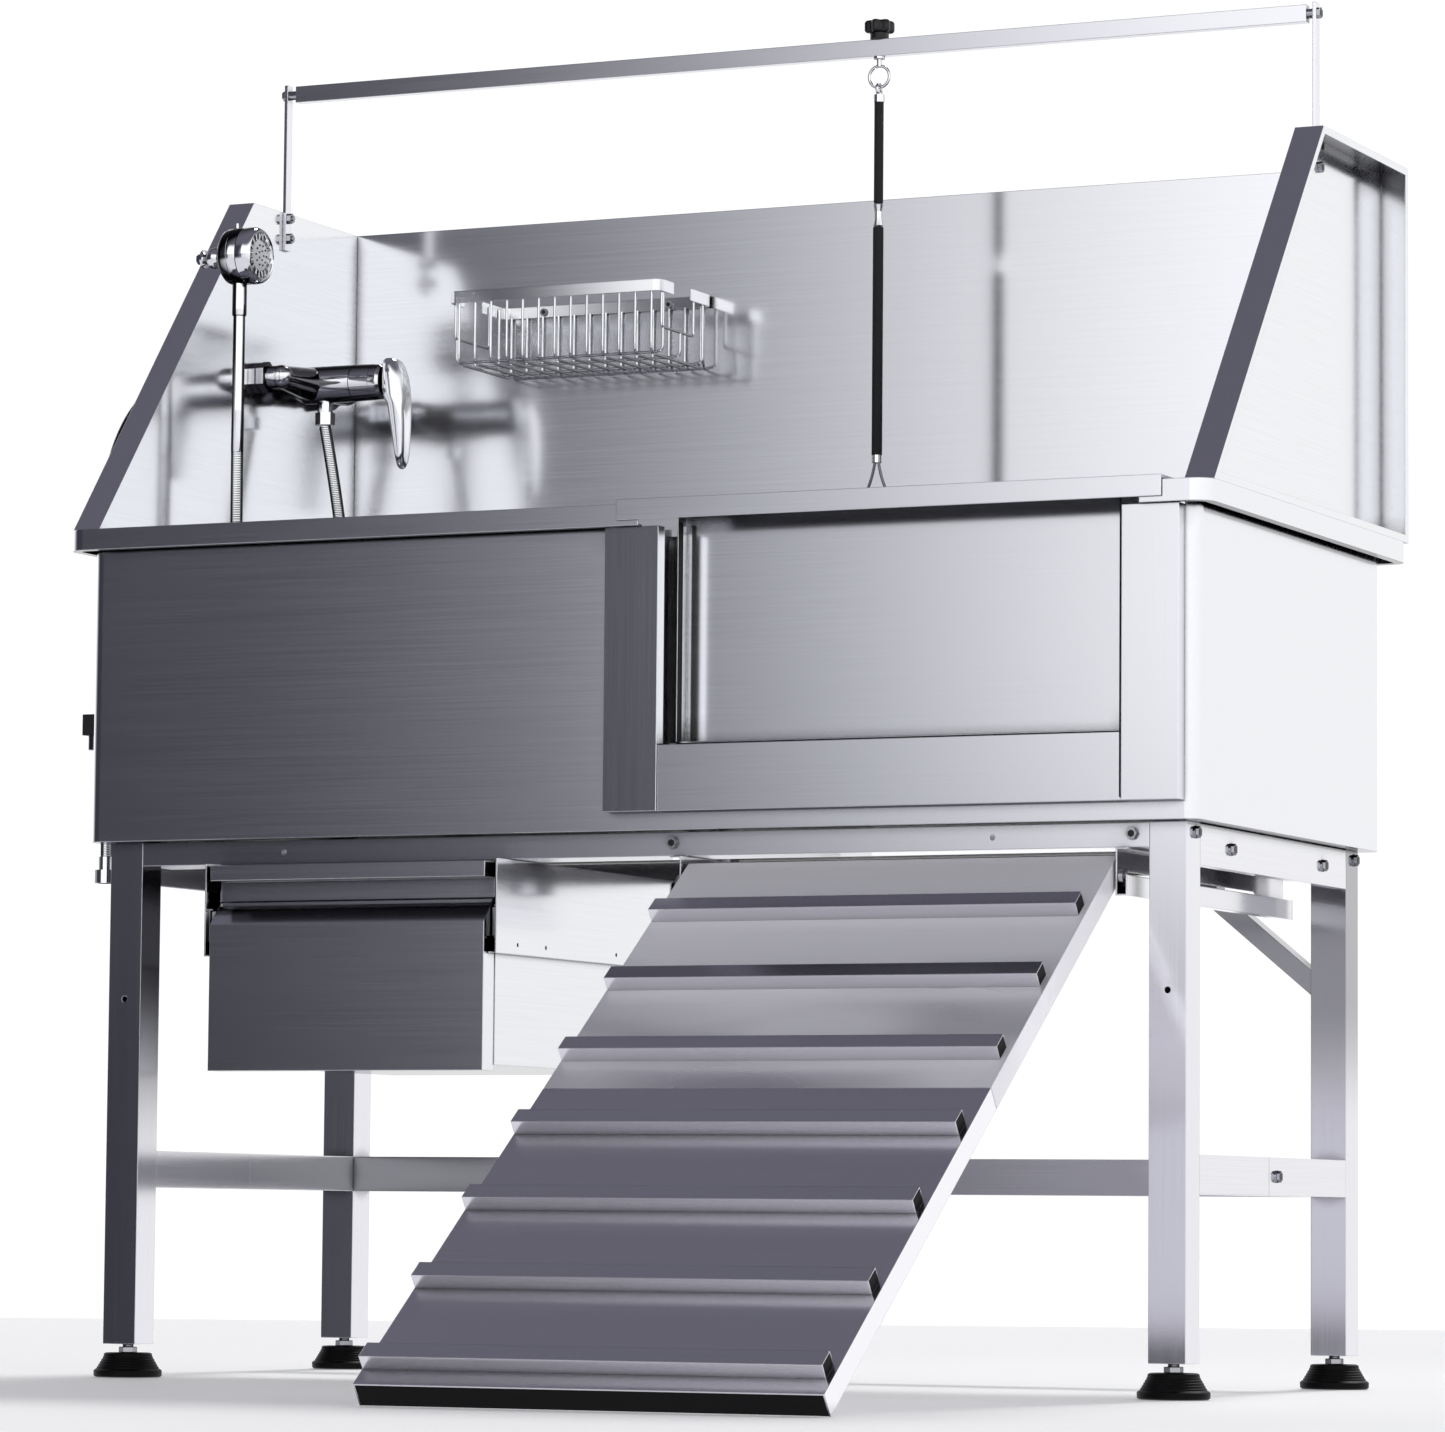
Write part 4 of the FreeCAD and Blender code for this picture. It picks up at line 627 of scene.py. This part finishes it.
def make_basket(materials):
    """Wire basket: U-shaped wires under a flat band that is cut away in the middle of each end."""
    x0, x1, y0, y1, z0, z1 = BASKET_X0, BASKET_X1, BASKET_Y0, BASKET_Y1, BASKET_Z0, BASKET_Z1
    thick, height, corner, front_stub, rear_stub = 2.0, 13.0, 8.0, 34.0, 54.0

    def strip(shape, centre_line):
        """Flat band of constant section along a line of (x, y) points."""
        rings = []
        for k, point in enumerate(centre_line):
            before, after = centre_line[max(k - 1, 0)], centre_line[min(k + 1, len(centre_line) - 1)]
            along = (Vector(after) - Vector(before)).normalized()
            side = Vector((-along.y, along.x)) * (thick / 2)
            a, b = Vector(point) + side, Vector(point) - side
            rings.append([at(a.x, a.y, z1 - height), at(a.x, a.y, z1), at(b.x, b.y, z1), at(b.x, b.y, z1 - height)])
        start, end = sum(rings[0], Vector()) / 4, sum(rings[-1], Vector()) / 4
        bridge(shape, [[start]] + rings + [[end]])

    def bent(turn_y, stub, away):
        """Line of one long side: a stub, two rounded corners and the other stub."""
        left, right, y = x0 + thick / 2, x1 - thick / 2, turn_y
        line = [(left, y + away * stub), (left, y + away * (corner + 1))]
        for centre_x, first in ((left + corner, 180), (right - corner, 270)):
            for k in range(7):
                turn = math.radians(first + 15 * k)
                line.append((centre_x + corner * math.cos(turn), y + away * (corner + corner * math.sin(turn))))
        return line + [(right, y + away * (corner + 1)), (right, y + away * stub)]

    shape = bmesh.new()
    strip(shape, bent(y0 + thick / 2, front_stub, 1))
    strip(shape, bent(y1 - thick / 2, rear_stub, -1))
    band = place_mesh("basket_band", shape, materials["band"], "tub_frame")
    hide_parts("wire_basket")

    r, bend = 1.5, 11.0
    ya, yb, top, low = y0 + thick + r, y1 - thick - r, z1 - 4, z0 + r
    xa, xb = x0 + thick + r, x1 - thick - r
    paths = []
    for k in range(13):
        x = x0 + 12 + k * (x1 - x0 - 24) / 12
        rear_top = z1 - height + 1
        paths.append([(x, ya, top), (x, ya, low + 2 * bend), (x, ya, low + bend / 2), (x, ya + bend / 2, low),
                      (x, ya + 2 * bend, low), (x, yb - 2 * bend, low), (x, yb - bend / 2, low),
                      (x, yb, low + bend / 2), (x, yb, low + 2 * bend), (x, yb, rear_top)])
    ends = ((ya + 12, top), ((ya + yb) / 2 - 8, z1 - 51), (yb - 14, top))
    for y, high in ends:
        paths.append([(xa, y, high), (xa, y, low + 2 * r + bend), (xa, y, low + 2 * r + bend / 4),
                      (xa + bend / 2, y, low + 2 * r), (xa + 2 * bend, y, low + 2 * r), (xb - 2 * bend, y, low + 2 * r),
                      (xb - bend / 2, y, low + 2 * r), (xb, y, low + 2 * r + bend / 4), (xb, y, low + 2 * r + bend),
                      (xb, y, high)])
    dip = z1 - 51
    for x in (xa, xb):
        paths.append([(x, ya + 8, top), (x, ya + 8, dip + bend), (x, ya + 8, dip + 2), (x, ya + 10, dip),
                      (x, ya + 8 + bend, dip), (x, yb - 38 - bend, dip), (x, yb - 40, dip), (x, yb - 38, dip + 2),
                      (x, yb - 38, dip + bend), (x, yb - 38, top)])
    wires("basket_wires", paths, r, materials["wire"], "tub_frame")


def make_feet(materials):
    """Levelling feet: ribbed rubber pad, lock nut and threaded stud."""
    for node, body in FEET.items():
        low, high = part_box(node)
        x, y = (Vector(((low.x + high.x) / 2, (low.y + high.y) / 2, 0)) - ORIGIN)[:2]
        x, y = x * 1000, y * 1000
        shape = bmesh.new()
        profile = [(0, 0), (0, 33.5), (1.2, 35.2), (6.5, 35.4), (7.6, 34.2), (8.4, 33.0)]
        for k in range(5):
            z, r = 8.6 + 2.6 * k, 32.2 - 1.5 * k
            profile += [(z, r), (z + 1.7, r - 0.3), (z + 2.1, r - 1.1)]
        profile += [(22, 25.2), (24.2, 24.6), (25, 22.5), (25, 6.1), (25, 0)]
        lathe(shape, profile, (x, y, 0), (0, 0, 1), 56)
        pad = place_mesh(node + "_pad", shape, materials["rubber"], body)
        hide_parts(node)
        stud = bmesh.new()
        thread = [(24, 0), (24, 5.2)]
        for k in range(6):
            thread += [(25.2 + 1.6 * k, 6.0), (26.0 + 1.6 * k, 5.2)]
        lathe(stud, thread + [(60, 5.2), (60, 0)], (x, y, 0), (0, 0, 1), 24)
        lathe(stud, [(25.2, 0), (25.2, 9.0), (25.8, 9.6), (30.4, 9.6), (31, 9.0), (31, 0)], (x, y, 0), (0, 0, 1), 6)
        place_mesh(node + "_stud", stud, materials["bolt"], body, 20.0)


def make_knob(materials):
    low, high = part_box("clamp_knob")
    x, y = EYE_X, ARM_Y
    base = (low.z * 1000)
    shape = bmesh.new()
    lathe(shape, [(0, 2.7), (0, 9.6), (1, 10), (6.5, 10), (7, 9.4), (7, 2.7)], (x, y, base), (0, 0, 1), 40)
    star = [(7, 2.7), (7, 11.4), (7.8, 12.8), (9.6, 13.8), (17.6, 13.8), (19.6, 12.6), (20.4, 10.6), (20.4, 2.7)]
    lathe(shape, star, (x, y, base), (0, 0, 1), 96, 6, 2.2)
    knob = place_mesh("star_knob", shape, materials["black"], "knob")
    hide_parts("clamp_knob")


def islands(node):
    """The separate solids of a CAD node, each as the list of its mesh points in the row frame."""
    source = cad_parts[node]
    points = [source.matrix_world @ vertex.co for vertex in source.data.vertices]
    same, parent = {}, []
    number = []
    for point in points:
        key = tuple(round(value, 5) for value in point)
        if key not in same:
            same[key] = len(parent)
            parent.append(len(parent))
        number.append(same[key])

    def root(k):
        while parent[k] != k:
            parent[k] = parent[parent[k]]
            k = parent[k]
        return k

    for edge in source.data.edges:
        a, b = (root(number[k]) for k in edge.vertices)
        parent[a] = b
    groups = {}
    for point, k in zip(points, number):
        groups.setdefault(root(k), []).append(point)
    return list(groups.values())


def corner_box(points):
    return [Vector(pick(p[k] for p in points) for k in range(3)) for pick in (min, max)]


def make_bolt_socket_shade(materials):
    """Black hexagons on the heads of the frame bolts, standing for the shade in their sockets: painted shade."""
    shape = bmesh.new()
    for points in islands("fasteners"):
        low, high = corner_box(points)
        size, middle = high - low, (low + high) / 2
        spread = [abs(size[(k + 1) % 3] - size[(k + 2) % 3]) for k in range(3)]
        axis = spread.index(min(spread))
        if axis == 2:
            continue
        sign = 1 if axis == 0 and middle.x > 0 else -1
        face = high[axis] if sign > 0 else low[axis]
        across = min(size[(axis + 1) % 3], size[(axis + 2) % 3])
        centre = middle.copy()
        centre[axis] = face
        direction = Vector((sign, 0, 0)) if axis == 0 else Vector((0, sign, 0))
        centre = (centre - ORIGIN) * 1000
        lathe(shape, [(-0.4, 0), (-0.4, 320 * across), (0.25, 310 * across), (0.25, 0)], centre, direction, 6)
    # black hexagons: painted shade in the bolt sockets
    place_mesh("bolt_socket_shade", shape, materials["black"], "tub_frame", 20.0)


def make_tread_ends(materials):
    """Black rubber fills in the open ends of the ramp's hollow treads, standing for the shade inside them: painted
    shade.
    """
    for node, body in (("ramp_treads_upper", "ramp_upper"), ("ramp_treads_lower", "ramp_lower")):
        shape = bmesh.new()
        for points in islands(node):
            end = max(p.x for p in points)
            flat = sorted({(round(p.y, 5), round(p.z, 5)) for p in points if p.x > end - 0.0005})
            outline = hull(flat)
            cy = sum(p[0] for p in outline) / len(outline)
            cz = sum(p[1] for p in outline) / len(outline)
            rings = []
            for x in (end - 0.0012, end + 0.0003):
                rings.append([Vector((x, cy + (y - cy) * 0.86, cz + (z - cz) * 0.86)) for y, z in outline])
            bridge(shape, [[Vector((end - 0.0012, cy, cz))]] + rings + [[Vector((end + 0.0003, cy, cz))]])
        # black end fills: painted shade inside the hollow treads
        place_mesh(node + "_end_shade", shape, materials["rubber"], body, 20.0)


def hull(points):
    """Convex outline of points in a plane, in order."""
    outline = []
    for row in (points, points[::-1]):
        start = len(outline)
        for p in row:
            while len(outline) - start >= 2:
                (ax, ay), (bx, by) = outline[-2], outline[-1]
                if (bx - ax) * (p[1] - ay) - (by - ay) * (p[0] - ax) > 1e-12:
                    break
                outline.pop()
            outline.append(p)
        outline.pop()
    return outline


def make_slot_shade_strips(materials):
    """Thin strips of black rubber material in the fold at the door's left edge and along the right post, where these
    slots lie in deep shade: painted shade.
    """
    shape = bmesh.new()
    slab(shape, 669.4, 670.0, 20.0, 30.0, 615, 865)
    place_mesh("door_edge_shade_strip", shape, materials["rubber"], "door")
    shape = bmesh.new()
    slab(shape, 1156.2, 1157.9, -16.2, -14.2, 575, 868)
    place_mesh("post_edge_shade_strip", shape, materials["rubber"], "tub_frame")


def make_details(materials):
    make_bolt_socket_shade(materials)
    make_tread_ends(materials)
    make_slot_shade_strips(materials)
    make_lever(materials)
    make_handset(materials)
    make_basket(materials)
    make_feet(materials)
    make_knob(materials)


# ---- surroundings ----
def make_surroundings():
    """Soft studio: a bright room with a dark screen at the front left and a grey ceiling, seen in the steel."""
    world = bpy.data.worlds.new("studio")
    bpy.context.scene.world = world
    world.use_nodes = True
    tree = world.node_tree
    tree.nodes.clear()
    out = tree.nodes.new("ShaderNodeOutputWorld")
    coords = tree.nodes.new("ShaderNodeTexCoord").outputs["Generated"]
    split = tree.nodes.new("ShaderNodeSeparateXYZ")
    tree.links.new(coords, split.inputs[0])

    def calc(operation, a, b=None):
        made = tree.nodes.new("ShaderNodeMath")
        made.operation = operation
        for slot, value in enumerate((a, b)):
            if value is None:
                continue
            if isinstance(value, (int, float)):
                made.inputs[slot].default_value = value
            else:
                tree.links.new(value, made.inputs[slot])
        return made.outputs[0]

    def ramp(factor, stops, interpolation="EASE"):
        made = tree.nodes.new("ShaderNodeValToRGB")
        made.color_ramp.interpolation = interpolation
        elements = made.color_ramp.elements
        while len(elements) < len(stops):
            elements.new(0.5)
        for element, (position, colour) in zip(elements, stops):
            element.position = position
            element.color = (*colour, 1)
        tree.links.new(factor, made.inputs["Fac"])
        return made.outputs["Color"]

    def blend(factor, a, b):
        made = tree.nodes.new("ShaderNodeMix")
        made.data_type = "RGBA"
        tree.links.new(factor, made.inputs["Factor"])
        tree.links.new(a, made.inputs["A"])
        tree.links.new(b, made.inputs["B"])
        return made.outputs["Result"]

    # heading: 0.5 straight to the front (-Y), more towards -X, a full turn is 1
    heading = calc("ADD", calc("DIVIDE", calc("ARCTAN2", calc("MULTIPLY", split.outputs["X"], -1.0),
                                              calc("MULTIPLY", split.outputs["Y"], -1.0)), 2 * math.pi), 0.5)
    slate, white = (0.045, 0.045, 0.06), (1.22, 1.23, 1.25)
    turn = 1 / 360.0
    upper = ramp(heading, [(0.0, (1.0, 1.0, 1.0)), (0.5 + 20.0 * turn, white), (0.5 + 22.0 * turn, (0.92, 0.93, 0.96)),
                           (0.5 + 23.3 * turn, (0.72, 0.73, 0.77)), (0.5 + 24.6 * turn, (0.42, 0.425, 0.46)),
                           (0.5 + 25.8 * turn, (0.19, 0.19, 0.22)), (0.5 + 27.2 * turn, (0.1, 0.1, 0.12)),
                           (0.5 + 28.6 * turn, slate), (0.5 + 75 * turn, slate), (0.5 + 110 * turn, white),
                           (1.0, (1.0, 1.0, 1.0))], "LINEAR")
    lower = ramp(heading, [(0.0, (1.0, 1.0, 1.0)), (0.5 - 15 * turn, (0.9, 0.9, 0.95)),
                           (0.5 + 17.5 * turn, (0.7, 0.7, 0.76)), (0.5 + 20.4 * turn, (0.36, 0.355, 0.42)),
                           (0.5 + 21.5 * turn, (0.24, 0.235, 0.28)), (0.5 + 25 * turn, (0.14, 0.138, 0.165)),
                           (0.5 + 28.5 * turn, (0.05, 0.05, 0.06)), (0.5 + 31 * turn, (0.03, 0.03, 0.04)),
                           (0.5 + 75 * turn, (0.03, 0.03, 0.04)), (0.5 + 110 * turn, white),
                           (1.0, (1.0, 1.0, 1.0))], "LINEAR")
    height = split.outputs["Z"]
    room = blend(ramp(height, [(0.036, (0, 0, 0)), (0.06, (1, 1, 1))]), lower, upper)
    ceiling = tree.nodes.new("ShaderNodeRGB")
    ceiling.outputs[0].default_value = (0.125, 0.122, 0.155, 1)
    above = blend(ramp(height, [(0.42, (0, 0, 0)), (0.68, (1, 1, 1))]), room, ceiling.outputs[0])
    ground = tree.nodes.new("ShaderNodeRGB")
    ground.outputs[0].default_value = (0.72, 0.72, 0.77, 1)
    depth = calc("MULTIPLY", height, -1.0)
    everything = blend(ramp(depth, [(0.1, (0, 0, 0)), (0.3, (1, 1, 1))]), above, ground.outputs[0])

    seen = tree.nodes.new("ShaderNodeBackground")
    tree.links.new(everything, seen.inputs["Color"])
    backdrop = tree.nodes.new("ShaderNodeBackground")
    backdrop.inputs["Color"].default_value = (1, 1, 1, 1)
    backdrop.inputs["Strength"].default_value = 1.05
    pick = tree.nodes.new("ShaderNodeMixShader")
    path = tree.nodes.new("ShaderNodeLightPath")
    tree.links.new(path.outputs["Is Camera Ray"], pick.inputs[0])
    tree.links.new(seen.outputs[0], pick.inputs[1])
    tree.links.new(backdrop.outputs[0], pick.inputs[2])
    tree.links.new(pick.outputs[0], out.inputs["Surface"])

    sun = bpy.data.lights.new("high_soft_light", "SUN")
    sun.energy = 1.6
    sun.angle = math.radians(14)
    sun_object = bpy.data.objects.new("high_soft_light", sun)
    sun_object.rotation_euler = (math.radians(-38), math.radians(12), math.radians(10))
    bpy.context.scene.collection.objects.link(sun_object)

    floor_mesh = bmesh.new()
    half_width, near, far = 9.0, -1.9, 3.9
    for x, y in ((-half_width, near), (half_width, near), (half_width, far), (-half_width, far)):
        floor_mesh.verts.new((x, y, -0.0006))
    floor_mesh.faces.new(floor_mesh.verts)
    mesh = bpy.data.meshes.new("floor")
    floor_mesh.to_mesh(mesh)
    floor = bpy.data.objects.new("floor", mesh)
    floor.rotation_euler.z = math.radians(24.8)
    bpy.context.scene.collection.objects.link(floor)
    graph = Graph("pale_floor")
    speck = graph.noise(graph.coords, 2.0, 2.0)
    graph.link(graph.ramp(speck, 0.3, 0.7, (0.86, 0.86, 0.86), (0.88, 0.88, 0.88)), graph.shader.inputs["Base Color"])
    graph.set(Roughness=0.7, Emission_Strength=0.2)
    graph.shader.inputs["Emission Color"].default_value = (1, 1, 1, 1)
    graph.shader.inputs["Specular IOR Level"].default_value = 0.1
    mesh.materials.append(graph.material)
    floor.visible_glossy = False
    bpy.context.scene.view_settings.view_transform = "Standard"


make_camera()
MATERIALS = make_materials()
make_cords(MATERIALS)
dress_nodes(MATERIALS)
make_details(MATERIALS)
make_surroundings()
